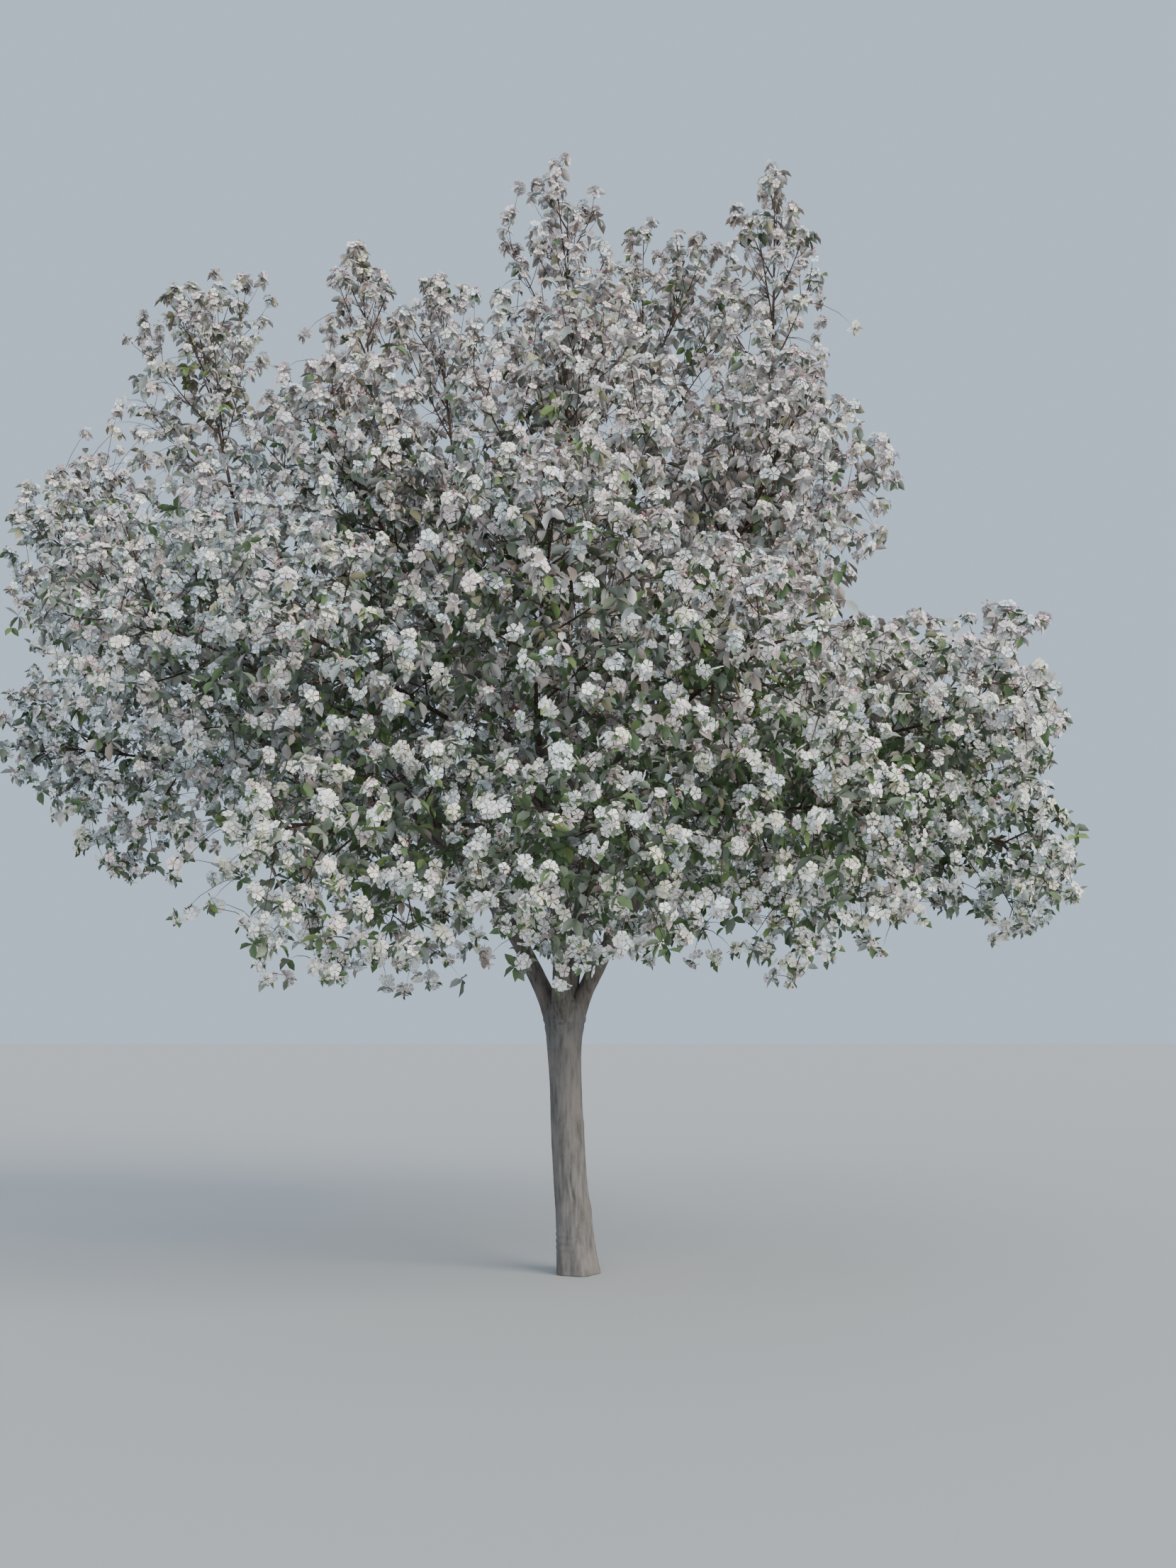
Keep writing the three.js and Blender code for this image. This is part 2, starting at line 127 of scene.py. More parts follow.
# Growing: the shares of a path's length that are tried to keep it in its mass, the heights between which
# drooping skirts give way to rising leaders, the lifts and tilts in each, how shoots grow shorter along
# their parent, how far draws change a length or a lift, and what a leader leaves of count, length and lift
TRIED_SHARES = (0.3, 0.45, 0.6, 0.72, 0.84, 0.92, 1.0)
RISE_HEIGHTS = (2.3, 4.3)
TWIG_LIFTS = (-0.12, 0.8)
SHOOT_LIFTS = (-0.25, 0.75)
SHOOT_TILTS = (48, 34)
SHOOT_TILT_DRAW = 24
SHOOT_FALLING = (1.15, 0.7)
LAST_SHOOT = 0.97
LENGTH_DRAW = (0.9, 1.1)
TWIG_LIFT_DRAW = (0.7, 1.3)
SHOOT_LIFT_DRAW = (0.6, 1.4)
LEADER_SHARE = 0.7
LEADER_LIFT_SHARE = 0.3

# The radii at foot and tip, the sides and the points of each kind of wood
STEM_TIP_RADIUS = 0.003
TWIG_RADII = (0.0062, 0.0022)
FILL_RADII = (0.0026, 0.0012)
WHIP_RADII = (0.0024, 0.0013)
TUBE_SIDES = {"stems": 8, "twigs": 4}
FINE_SIDES = 3
STEM_POINTS = 9
SHOOT_POINTS = 5
FILL_POINTS = 4

# Side shoots of each level, by the wood that they stand on: their spacing, as a share of the setting, the
# share of the wood that stays bare at its foot, the least and greatest length, the radius at foot and tip,
# the points of each path, the number that sets their draws apart, and how far past its mass a tip may stand
SHOOTS = (
    ("twigs", 1.0, 0.2, (0.16, 0.46), (0.0034, 0.0014), SHOOT_POINTS, 11, 1.04),
    ("stems", 0.9, 0.4, (0.14, 0.42), (0.0034, 0.0014), SHOOT_POINTS, 23, 1.04),
    ("limbs", 1.1, 0.3, (0.14, 0.40), (0.0038, 0.0014), SHOOT_POINTS, 29, 3.0),
)
SPURS = (
    ("shoots", 1.0, 0.12, (0.025, 0.06), (0.0016, 0.0012), 2, 37, 3.0),
    ("twigs", 1.0, 0.25, (0.03, 0.07), (0.0018, 0.0012), 2, 41, 3.0),
    ("stems", 1.0, 0.4, (0.03, 0.07), (0.0018, 0.0012), 2, 43, 3.0),
)
WHIP_SPURS = (("whips", 1.3, 0.25, (0.012, 0.03), (0.0014, 0.0012), 2, 47, 9.0),)

# A spur's room as a share of the setting: in the skirts, higher up, and in a leader
SPUR_ROOMS = (1.25, 1.08)
LEADER_SPUR_ROOM = 1.35

# Room that shoots keep from the wood and from the sides of the solids' box, and the window under the crown
# that shows the fork: half its width, and the height of its top
WOOD_ROOM = 0.03
BOX_ROOM = 0.06
FORK_WINDOW = (0.25, 1.62)

# The samples that stand for the wood: how many for each bough, limb and the trunk, a limb's mean radius as
# a share of its tip's, how many samples of each path shoots may leave it at, and the batches to search in
WOOD_SAMPLES = 40
LIMB_MEAN_SHARE = 1.6
FOOT_SAMPLES = 5
GAP_BATCH = 2000
NEAREST_BATCH = 1000

# Whole numbers for cubes of air: their middle, and how many there may be along each axis
CELL_MIDDLE = 4096
CELL_SPAN = 8192

# Empty air that draws shoots: round the boughs and limbs, and a little past the masses in the skirts. A
# shoot's tip stands a little off the middle of its cube, and it leaves its parent between two shares.
SLEEVE_REACH = 0.26
SLEEVE_FOOT = 1.66
SKIRT_SLACK = 1.05
SKIRT_HEIGHTS = (2.1, 2.8)
FILL_SPANS = (0.05, 0.38)
FILL_ARCH = 0.5
FILL_JITTER = 0.7
FILL_FEET = (0.15, 0.95)

# Gaps between masses that shoots close as well: the middle of each and its radius
POCKETS = (
    ((-1.75, 0.05, 5.12), 0.50),
    ((-0.75, -1.00, 1.74), 0.30),
    ((-1.95, -1.35, 2.05), 0.30),
    ((-0.75, 0.15, 3.90), 0.60),
    ((-0.25, 0.35, 4.20), 0.50),
    ((-0.20, -0.40, 3.50), 0.45),
)

# Where some of the air stays open: towards the top, and to the right over the skirts
OPEN_AIR_HEIGHTS = (4.4, 5.9)
OPEN_AIR_REACH = (1.2, 2.4)
OPEN_AIR_FOOT = (2.4, 3.0)
OPEN_AIR_SHARE = 0.55

# Single whips over the crown: how many each mass has, their lengths and the least that is kept, their
# upward slope, and the room that they leave under the top
WHIPS = {"top_left": 2, "top_middle": 3, "right_leader": 1, "right_shoulder": 3, "front_right_shoulder": 2}
WHIP_LENGTHS = (0.18, 0.42)
WHIP_LEAST = 0.08
WHIP_SLOPE = 1.6
WHIP_ROOM = 0.13

# Sprays deeper than this in the crown on all sides have leaves only, and those deeper than the rim on
# most sides are inside it: the depths, and the shares of six ways that count as all and as most sides
DEEP = 0.38
ALL_SIDES = 0.99
RIM = 0.16
MOST_SIDES = 0.8

# The share of the other sprays that flower, on the rim or high up and inside the low crown, and the share
# of them that is mostly in bud
FLOWERING = (0.90, 0.66)
BUDDING = 0.12

# How many open flowers, buds and leaves a spray has: in bud, in leaf only, and otherwise as a least number
# (for flowers, high and low in the crown) and a draw over it
BUDDING_FLOWERS = 2
BUDDING_BUDS = 4
LEAFY_LEAVES = 4
FLOWER_COUNTS = (4.2, 5.2)
FLOWER_DRAW = 2.4
BUD_DRAW = 1.5
LEAF_COUNT = 3
LEAF_DRAW = 2.0

# Flowers, buds and leaves of a spray: tilts off its way in degrees, distances from its end, and sizes
SPRAY_RISE = 0.35
FLOWER_TILTS = (5, 104)
FLOWER_REACH = (0.020, 0.034)
FLOWER_BACK = 0.050
FLOWER_SIZES = (0.82, 1.16)
FLOWER_UP = 0.25
FLOWER_JITTER = 0.7
LOW_REACH = 1.2
PETAL_CUP = (-1.5, 1.1)
STALK_RADIUS = 0.0011
BUD_TILTS = (5, 70)
BUD_REACH = (0.012, 0.026)
BUD_LENGTHS = (0.012, 0.019)
LEAF_TILTS = (52, 118)
LEAF_DROOP = (0.25, 0.65)
LEAF_SIZES = (0.68, 1.22)
LEAFY_SIZE = 1.35
HIGH_LEAF_SIZE = 1.1
LEAF_ROLL = 2.2

# The trunk's mesh: its rings and sides, the shares of the rings below its rounded head and in it, and how
# far the head draws in over the fork and then closes, and rises in closing
TRUNK_RINGS = 220
TRUNK_SIDES = 96
BODY_SHARE = 0.94
CAP_SHARE = 0.06
HEAD_DRAW_IN = 0.45
CAP_DRAW_IN = 0.97
CAP_RISE = 0.006

# The swelling of the trunk under a bough: its depth, half its width in radians, and where it comes in
SHOULDER = (0.012, 0.42)
SHOULDER_HEIGHTS = (1.28, 1.44)

# Marks on the trunk: how far each stands out, its height and half its span, and, where it doesn't run all
# round, its azimuth and half its width in radians. The slit has its own lips and groove, in metres across.
LOW_RINGS = (0.165, 0.06, 205, 0.9)
LOW_RING_DEPTH = 0.0028
LOW_RING_SPACING = 0.036
LOW_RING_FOOT = 0.13
LUMPS = ((0.006, 0.34, 0.05, 355, 0.35), (0.005, 0.80, 0.04, 350, 0.3))
COLLAR = ((0.0035, 1.385, 0.012), (-0.003, 1.360, 0.010))
SLIT_SPAN = (0.476, 0.085)
SLIT_LIPS = (0.0042, 0.013, 0.008)
SLIT_GROOVE = (0.009, 0.005)
SLIT_AZIMUTH = 275
SLIT_SWAY = 5
SLIT_WAVES = 22

# The bark's relief: how closely its waves, plates, lumps and grain come, and the share of each in it
RIDGE_SCALES = (60, 210, 26, 420)
RIDGE_SHARES = (0.6, 1.0, 1.1, 0.25)

# The meshes of a bough and a limb: rings, sides, and how much the foot flares
BOUGH_MESH = (90, 28, 0.22)
LIMB_MESH = (34, 10, 0.3)

# How far boughs and limbs wander and how closely, and the same for the knots as a share of the radius
WANDER = (0.012, 5.0)
KNOTS = (0.06, 14)

# The stage: the backdrop's strength, each sun's strength, width, azimuth, height and colour, half the
# floor's side, and the camera's place to the side, its upward slope, its focal length in heights of the
# frame, and its sensor in millimetres
SKY_STRENGTH = 1.34
SUNS = {
    "key_light": (3.9, 40, -38, 25, (1.0, 0.92, 0.81)),
    "fill_light": (1.7, 70, -104, 24, (0.92, 0.95, 1.0)),
}
FLOOR_REACH = 60.0
CAMERA_ASIDE = 0.059
CAMERA_SLOPE = 0.162
FOCAL_SHARE = 2000 / 2212
SENSOR = 36.0

# The main boughs: name, azimuth, reach and height of the tip, and the lift at each end
BOUGHS = {
    "left": (184, 1.42, 3.02, 69, 36),
    "right": (357, 1.33, 2.86, 69, 30),
    "front": (264, 1.08, 2.78, 67, 38),
    "back": (94, 1.13, 2.95, 67, 40),
    "centre": (20, 0.23, 3.90, 80, 84),
}

# The masses: the bough that carries each, how far along it the limb leaves, the azimuth, reach and height
# of the middle, the lift of the stem, and half the length and the breadth
MASSES = {
    "left_waist": ("left", 1, 184, 2.23, 3.42, 26, 0.90, 0.76),
    "left_skirt": ("left", 0.5, 185, 2.5, 2.87, 6, 0.74, 0.58),
    "far_left": ("left", 0.74, 176, 2.83, 3.88, 48, 0.8, 0.62),
    "front_left_skirt": ("left", 0.3, 237, 1.78, 2.31, -6, 0.82, 0.7),
    "front_left_waist": ("left", 0.64, 216, 2.18, 3.20, 18, 0.86, 0.76),
    "back_left": ("left", 0.42, 138, 2.16, 3.15, 28, 0.98, 0.98),
    "left_leader": ("left", 0.86, 168, 2.4, 5.22, 76, 0.88, 0.7),
    "right_waist": ("right", 1, 357, 1.93, 2.91, 14, 0.84, 0.7),
    "right_skirt": ("right", 0.7, 354, 2.06, 2.48, -16, 0.82, 0.62),
    "front_right_skirt": ("right", 0.3, 307, 1.78, 2.4, -4, 0.82, 0.68),
    "front_right_waist": ("right", 0.6, 328, 1.9, 2.85, 8, 0.84, 0.74),
    "back_right": ("right", 0.42, 42, 2.08, 3.05, 28, 0.98, 0.98),
    "right_shoulder": ("right", 0.86, 4, 1.06, 4.38, 70, 0.86, 0.51),
    "front_waist": ("front", 1, 266, 1.80, 3.30, 30, 0.80, 0.72),
    "front_skirt": ("front", 0.44, 277, 1.48, 2.31, -6, 0.86, 0.8),
    "front_waist_left": ("front", 0.72, 240, 1.98, 3.02, 10, 0.74, 0.62),
    "front_waist_right": ("front", 0.62, 290, 1.90, 2.96, 8, 0.76, 0.64),
    "front_shoulder": ("front", 0.88, 268, 1.2, 4.21, 64, 0.84, 0.76),
    "front_left_shoulder": ("front", 0.8, 229, 1.46, 3.82, 50, 0.8, 0.7),
    "back_waist": ("back", 1, 92, 1.85, 3.45, 30, 0.82, 0.76),
    "back_skirt": ("back", 0.46, 91, 1.98, 2.64, 4, 0.84, 0.82),
    "back_right_shoulder": ("back", 0.76, 48, 1.36, 4.32, 62, 0.88, 0.78),
    "back_left_shoulder": ("back", 0.86, 130, 1.42, 4.40, 62, 0.88, 0.78),
    "top_middle": ("centre", 1, 40, 0.71, 5.59, 84, 1.04, 0.7),
    "top_left": ("centre", 0.84, 259, 0.306, 5.34, 88, 0.98, 0.54),
    "right_leader": ("centre", 0.7, 342, 1.21, 5.41, 88, 1.0, 0.4),
    "middle_leader": ("centre", 0.62, 141, 1.13, 5.42, 80, 0.88, 0.48),
    "tower": ("centre", 0.48, 199, 1.27, 4.98, 84, 0.84, 0.3),
    "front_right_shoulder": ("centre", 0.42, 318, 1.26, 4.08, 58, 0.82, 0.7),
}

# Shades, each dealt out to whole sprays: how often it comes low and right, in the left side, and on top
# These shares paint light and shade by place: low and right the whitest petals stand for sunlit ones, and
# on the left side and on top the cool and lilac petals are the white petal in painted shade.
PETAL_SHADES = {
    "petal_white": ((0.90, 0.90, 0.88), 0.46, 0.12, 0.10),
    "petal_warm": ((0.90, 0.85, 0.76), 0.26, 0.08, 0.12),
    "petal_cream": ((0.82, 0.79, 0.66), 0.10, 0.06, 0.04),
    "petal_blush": ((0.86, 0.73, 0.71), 0.06, 0.06, 0.14),
    "petal_cool": ((0.64, 0.70, 0.73), 0.10, 0.54, 0.20),
    "petal_lilac": ((0.72, 0.65, 0.66), 0.02, 0.14, 0.40),
}
# The leaves' shares paint light as well: dark greens low and right, and on the left side and on top paler
# grey, bronze and khaki leaves, partly their own young tones and partly painted light that lifts their
# shadow.
LEAF_SHADES = {
    "leaf_sage": ((0.165, 0.200, 0.145), 0.38, 0.26, 0.10),
    "leaf_grey": ((0.310, 0.340, 0.310), 0.06, 0.38, 0.26),
    "leaf_green": ((0.085, 0.135, 0.058), 0.44, 0.18, 0.02),
    "leaf_bright": ((0.160, 0.230, 0.080), 0.07, 0.02, 0.03),
    "leaf_bronze": ((0.370, 0.315, 0.280), 0.05, 0.02, 0.25),
    "leaf_pale": ((0.480, 0.460, 0.445), 0.00, 0.14, 0.32),
    "leaf_khaki": ((0.270, 0.260, 0.165), 0.00, 0.00, 0.10),
}
BUD_SHADES = {
    "bud_pink": ((0.64, 0.30, 0.31), 0.6, 0.6, 0.6),
    "bud_rose": ((0.50, 0.16, 0.20), 0.4, 0.4, 0.4),
}

# Where the painted shade of the left side and of the top of the crown comes in, for the shares above:
# heights, and reach to the left
TOP_HEIGHTS = (2.3, 4.0)
LEFT_FOOT = (2.0, 3.0)
LEFT_HEAD = (3.9, 4.9)
LEFT_SPAN = (-0.4, 1.8)

# Finishes: the shades of each kind, its roughness and sheen, and how closely it varies
FINISHES = {
    "petals": (PETAL_SHADES, 0.62, 0.12, 24.0),
    "leaves": (LEAF_SHADES, 0.55, 0.05, 16.0),
    "buds": (BUD_SHADES, 0.50, 0.05, 30.0),
}

# Barks: the dark, light and pink tones of each, and how closely its streaks come
BARKS = {
    "trunk": ((0.098, 0.092, 0.085), (0.165, 0.158, 0.150), (0.200, 0.178, 0.163), 1.0),
    "bough": ((0.078, 0.069, 0.061), (0.148, 0.134, 0.120), (0.180, 0.155, 0.137), 1.5),
    "twig": ((0.034, 0.022, 0.016), (0.090, 0.062, 0.046), (0.120, 0.075, 0.055), 3.0),
}


def length_property(name, description, default, least=0.0):
    """A length for the panel."""
    return bpy.props.FloatProperty(
        name=name, description=description, default=default, min=least, unit="LENGTH")


def colour_property(name, description, default):
    """A colour for the panel."""
    return bpy.props.FloatVectorProperty(
        name=name, description=description, default=default, subtype="COLOR", size=3, min=0.0, max=1.0)


class TreeSettings(bpy.types.PropertyGroup):
    """Sizes of the tree's bark, shoots, leaves and flowers"""

    ridge_depth: length_property("Ridge depth", "Height of the bark's ridges", 0.0022)
    twig_count: bpy.props.IntProperty(
        name="Twigs", description="Twigs on the stem of each mass", default=15, min=2)
    shoot_spacing: length_property("Shoot spacing", "Distance between shoots along a twig", 0.085, 0.02)
    spur_spacing: length_property("Spur spacing", "Distance between spurs along a shoot", 0.060, 0.02)
    spur_room: length_property("Spur room", "Side of the cube of air that a spur has", 0.122, 0.02)
    filling_room: length_property("Filling room", "Side of the cube of air that draws a shoot", 0.165, 0.05)
    flower_radius: length_property("Flower radius", "From a flower's centre to its edge", 0.030, 0.005)
    leaf_length: length_property("Leaf length", "Length of a middle-sized leaf", 0.062, 0.01)


class StageSettings(bpy.types.PropertyGroup):
    """The floor, the backdrop and the camera"""

    floor_colour: colour_property("Floor colour", "Base colour of the floor", (0.42, 0.43, 0.43))
    sky_colour: colour_property("Backdrop colour", "Colour of the plain backdrop", (0.42, 0.51, 0.62))
    camera_distance: length_property("Camera distance", "From the camera to the trunk", 8.2)
    camera_height: length_property("Camera height", "Height of the camera over the ground", 1.42)


def unit(vectors):
    """Vectors scaled to length 1."""
    return vectors / np.maximum(np.linalg.norm(vectors, axis=-1, keepdims=True), 1e-12)


def draw(key, use):
    """The same number between 0 and 1 for one key and one use: the fraction of a large sine."""
    wave = np.sin(np.asarray(key, float) * 12.9898 + use * 78.233) * 43758.5453
    return wave - np.floor(wave)


def jitter(keys, *uses):
    """Numbers from -0.5 to 0.5 for each key, one for each use."""
    return np.stack([draw(keys, use) for use in uses], -1) - 0.5


def between(low, high, share):
    """The value a share of the way from low to high."""
    return low + (high - low) * share


def smooth_step(low, high, value):
    """0 below low, 1 above high, and 3t² - 2t³ between them."""
    share = np.clip((value - low) / (high - low), 0, 1)
    return share * share * (3 - 2 * share)


def hump(values, middle, width, power=2):
    """A rounded hump, 1 at its middle: exp(-((value - middle) / width)^power)."""
    return np.exp(-(((values - middle) / width) ** power))


def heading(azimuth, lift):
    """The unit vector at an azimuth and a lift."""
    a, l = math.radians(azimuth), math.radians(lift)
    return np.array([math.cos(a) * math.cos(l), math.sin(a) * math.cos(l), math.sin(l)])


def place(azimuth, reach, height):
    """The point at an azimuth, a reach from the trunk's foot, and a height."""
    return heading(azimuth, 0) * reach + np.array([0, 0, height])


def turns(sides):
    """Evenly spaced angles once round, in radians."""
    return np.arange(sides) * 2 * np.pi / sides


def turned_from(angles, azimuths):
    """How far angles in radians lie from azimuths in degrees, from -π to π."""
    return np.angle(np.exp(1j * (angles - np.radians(azimuths))))


def runs(counts):
    """For so many rows of each: whose each row is, and its number among them."""
    rows = np.repeat(np.arange(len(counts)), counts)
    return rows, np.arange(len(rows)) - np.repeat(np.cumsum(counts) - counts, counts)


def ripples(points, scale, seed):
    """A smooth wandering value from -1 to 1: the mean of six sines along odd directions."""
    keys = np.arange(6) + seed * 11.0
    ways = unit(jitter(keys, 1, 2, 3)) * scale
    phases = draw(keys, 4) * 2 * np.pi
    return np.sin(points @ ways.T * between(0.7, 1.5, draw(keys, 5)) + phases).mean(-1) * 1.7


def sweep(start, leave, end, arrive):
    """The four points of a curve that leaves one point in one direction and meets another in another."""
    handle = np.linalg.norm(end - start) * CURVE_REACH
    return np.stack([start, start + leave * handle, end - arrive * handle, end])


def curve_points(curve, shares):
    """The points of a cubic curve: its four points weighed by the Bernstein polynomials."""
    t = np.asarray(shares, float)[..., None]
    a, b, c, d = curve
    return a * (1 - t) ** 3 + 3 * b * t * (1 - t) ** 2 + 3 * c * t * t * (1 - t) + d * t ** 3


def curve_tangents(curve, shares):
    """The unit tangents of a cubic curve, from the differences of its points."""
    t = np.asarray(shares, float)[..., None]
    a, b, c, d = curve
    return unit((b - a) * (1 - t) ** 2 + 2 * (c - b) * t * (1 - t) + (d - c) * t * t)


def aside_from(ways, upright=UPRIGHT):
    """An axis well off each way: up, or +X for those that run more upright than a limit."""
    return np.where(np.abs(ways[..., 2:]) > upright, EAST, UP)


def lean_from(parents, tilt, turn):
    """Directions that lean away from their parents' by a tilt, turned about them by a turn, in degrees."""
    side = unit(np.cross(parents, aside_from(parents)))
    turn = np.radians(turn)[..., None]
    tilt = np.radians(tilt)[..., None]
    side = side * np.cos(turn) + np.cross(parents, side) * np.sin(turn)
    return parents * np.cos(tilt) + side * np.sin(tilt)


def trunk_centre(height):
    """The trunk's centre line, which leans left by a sine and straightens towards the fork."""
    height = np.asarray(height, float)
    lean = -TRUNK_LEAN * np.sin(np.minimum(height / FORK_HEIGHT, 1) * np.pi / 2)
    return np.stack([lean, np.zeros_like(lean), height], -1)


def bough_curve(name):
    """The main bough's curve, from inside the trunk's head to its tip."""
    azimuth, reach, height, lift, tip_lift = BOUGHS[name]
    ring = 0 if name == "centre" else BOUGH_FOOT_RING
    fork = trunk_centre(FORK_HEIGHT)
    foot = fork + place(azimuth, ring, -BOUGH_FOOT_DEPTH)
    tip = fork * np.array([1, 1, 0]) + place(azimuth, reach, height)
    return sweep(foot, heading(azimuth, lift), tip, heading(azimuth, tip_lift))


class Mass:
    """One mass of the crown: its space, the limb that carries it and its stem."""

    def __init__(self, number, name):
        self.bough, self.at, azimuth, reach, height, lift, self.long, self.wide = MASSES[name]
        self.leading = float(smooth_step(*LEADER_LIFTS, lift))
        self.number = number
        self.name = name
        self.centre = place(azimuth, reach, height)
        self.limb = None
        carrier = bough_curve(self.bough)
        foot, axis = carrier[3], unit(carrier[3] - carrier[2])
        if self.at < 1:
            axis = heading(azimuth, lift)
            foot = self.centre - axis * self.long * STEM_SHARE
            start = curve_points(carrier, self.at)
            leave = curve_tangents(carrier, self.at) * LEAVING_LEAN + unit(foot - start)
            self.limb = sweep(start, unit(leave), foot, axis)
        self.axis = unit(self.centre - foot)
        self.stem = sweep(foot, axis, self.centre + self.axis * self.long * STEM_SHARE, self.axis)


@functools.cache
def masses():
    """All the masses, numbered from 1 in the order of the table."""
    return [Mass(number + 1, name) for number, name in enumerate(MASSES)]


def masses_of(bough):
    """The numbers, from 0, of the masses that one bough carries."""
    return [mass.number - 1 for mass in masses() if mass.bough == bough]


def leading_of(owners):
    """How far the mass of each owner is an upright leader, from 0 to 1."""
    return np.array([mass.leading for mass in masses()])[owners]


def egg_share(away, axes, longs, wides):
    """How far out in an egg points lie, squared: (along / long)² + (across / wide)²."""
    along = (away * axes).sum(-1)
    across2 = np.maximum((away * away).sum(-1) - along ** 2, 0)
    return (along / longs) ** 2 + across2 / wides ** 2


def inside_space(points, owners, slack=1.0):
    """Whether each point lies in its owner's space: in its egg, and on its side of every neighbour.

    The plane between two masses stands at (gap² + wide² - other²) / 2 gap from the middle of the first.
    """
    every = masses()
    centres = np.stack([mass.centre for mass in every])
    axes = np.stack([mass.axis for mass in every])
    longs = np.array([mass.long for mass in every])
    wides = np.array([mass.wide for mass in every])
    away = points - centres[owners]
    held = egg_share(away, axes[owners], longs[owners], wides[owners]) <= slack ** 2
    apart = centres[None] - centres[:, None]
    gaps = np.linalg.norm(apart, axis=-1) + np.eye(len(every))
    planes = (gaps ** 2 + wides[:, None] ** 2 - wides[None] ** 2) / (2 * gaps) - SPACE_MARGIN
    planes[np.eye(len(every), dtype=bool)] = np.inf
    reach = np.einsum("pk,pmk->pm", away, (apart / gaps[..., None])[owners])
    return held & (reach <= planes[owners]).all(-1)


def ragged(points):
    """How far the crown swells or draws in at each point, so that no mass ends in a smooth round."""
    return 1 + RAGGED * ripples(points, RAGGED_SCALE, 31)


def inside_crown(points, slack=1.0):
    """Whether each point lies in the egg of any mass at all, with no planes between them."""
    held = np.zeros(len(points), bool)
    for mass in masses():
        held |= egg_share(points - mass.centre, mass.axis, mass.long, mass.wide) <= slack ** 2
    return held


def buried(points, depth):
    """The share of six square ways in which the crown goes on for a depth beyond each point."""
    ways = np.concatenate([np.eye(3), -np.eye(3)]) * depth
    return np.mean([inside_crown(points + way) for way in ways], axis=0)


def in_box(points, room):
    """Whether each point lies in the CAD model's box, with some room to its sides."""
    low, high = np.array(CAD_BOX[0]) + room, np.array(CAD_BOX[1]) - room
    return ((points > low) & (points < high)).all(-1)


class Shoots:
    """Many shoots of one order: their paths, radius at foot and tip, owners and keys."""

    fields = ("paths", "thick", "thin", "owners", "keys")

    def __init__(self, paths, thick, thin, owners, keys):
        self.paths = paths
        self.thick = np.broadcast_to(thick, len(paths))
        self.thin = np.broadcast_to(thin, len(paths))
        self.owners = owners
        self.keys = keys

    def ends(self):
        """The last point of each path."""
        return self.paths[:, -1]

    def lengths(self):
        """The length of each path, as the sum of its straight steps."""
        return np.linalg.norm(np.diff(self.paths, axis=1), axis=-1).sum(-1)

    def at(self, rows, shares):
        """Points and tangents a share of the way along some of the paths, by straight steps."""
        steps = self.paths.shape[1] - 1
        spot = np.clip(shares, 0, 0.9999) * steps
        low = spot.astype(int)
        start = self.paths[rows, low]
        step = self.paths[rows, low + 1] - start
        return start + step * (spot - low)[:, None], unit(step)

    def only(self, keep):
        """The shoots that are kept."""
        return Shoots(*[getattr(self, field)[keep] for field in self.fields])

    def along(self, paths):
        """The same shoots along other paths."""
        return Shoots(paths, self.thick, self.thin, self.owners, self.keys)

    def resampled(self, points):
        """The same shoots with their paths told by so many points."""
        steps = np.tile(np.linspace(0, 1, points), len(self.paths))
        rows = np.repeat(np.arange(len(self.paths)), points)
        return self.along(self.at(rows, steps)[0].reshape(-1, points, 3))


def joined(groups):
    """Several groups of shoots with the same number of points as one."""
    return Shoots(*[np.concatenate([getattr(group, field) for group in groups]) for field in Shoots.fields])


def grown_paths(starts, ways, lengths, lift, points):
    """Paths start + way·L·t + up·lift·L·t², of so many points each."""
    t = np.linspace(0, 1, points)[None, :, None]
    rise = UP * lift[:, None, None]
    return starts[:, None] + (ways[:, None] * t + rise * t * t) * lengths[:, None, None]


def fitted(starts, ways, lengths, lift, points, owners, slack=1.0):
    """Paths shortened until they end in their owners' spaces, and which of them could be kept."""
    best = np.zeros(len(starts))
    for share in TRIED_SHARES:
        ends = grown_paths(starts, ways, lengths * share, lift, 2)[:, -1]
        held = inside_space(ends, owners, slack * ragged(ends)) & in_box(ends, BOX_ROOM)
        best = np.where(held, share, best)
    return grown_paths(starts, ways, lengths * np.maximum(best, 0.01), lift, points), best > 0


def rise_of(heights):
    """0 in the drooping skirts of the crown and 1 in its upright leaders."""
    return smooth_step(*RISE_HEIGHTS, heights)


def stem_twigs(mass, count):
    """The twigs of one mass: they leave its stem by the golden turn, long and wide of it low down.

    A leader has fewer of them, and they rise beside it as a fan.
    """
    count = round(count * between(1, LEADER_SHARE, mass.leading))
    search = np.arange(FIRST_TWIG, FIRST_TWIG_LIMIT, FIRST_TWIG_STEP)
    held = inside_space(curve_points(mass.stem, search), np.full(len(search), mass.number - 1))
    first = search[np.argmax(held)] if held.any() else FIRST_TWIG_LIMIT
    number = np.arange(count)
    keys = mass.number * 100.0 + number
    shares = between(first, LAST_TWIG, number / (count - 1))
    tilt = between(between(*TWIG_TILTS, shares), between(*FAN_TILTS, shares), mass.leading)
    tilt = tilt + TILT_DRAW * (draw(keys, 1) - 0.5)
    tangents = curve_tangents(mass.stem, shares)
    ways = lean_from(tangents, tilt, number * GOLDEN_TURN + mass.number * MASS_TURN)
    reach = mass.wide * between(*TWIG_LENGTHS, shares)
    lengths = between(reach, mass.long * between(*FAN_LENGTHS, shares), mass.leading)
    lengths = lengths * between(*LENGTH_DRAW, draw(keys, 2))
    lift = between(*TWIG_LIFTS, rise_of(mass.centre[2])) * between(1, LEADER_LIFT_SHARE, mass.leading)
    lift = lift * between(*TWIG_LIFT_DRAW, draw(keys, 3))
    owners = np.full(count, mass.number - 1)
    paths, kept = fitted(curve_points(mass.stem, shares), ways, lengths, lift, STEM_POINTS, owners)
    return Shoots(paths, *TWIG_RADII, owners, keys).only(kept)


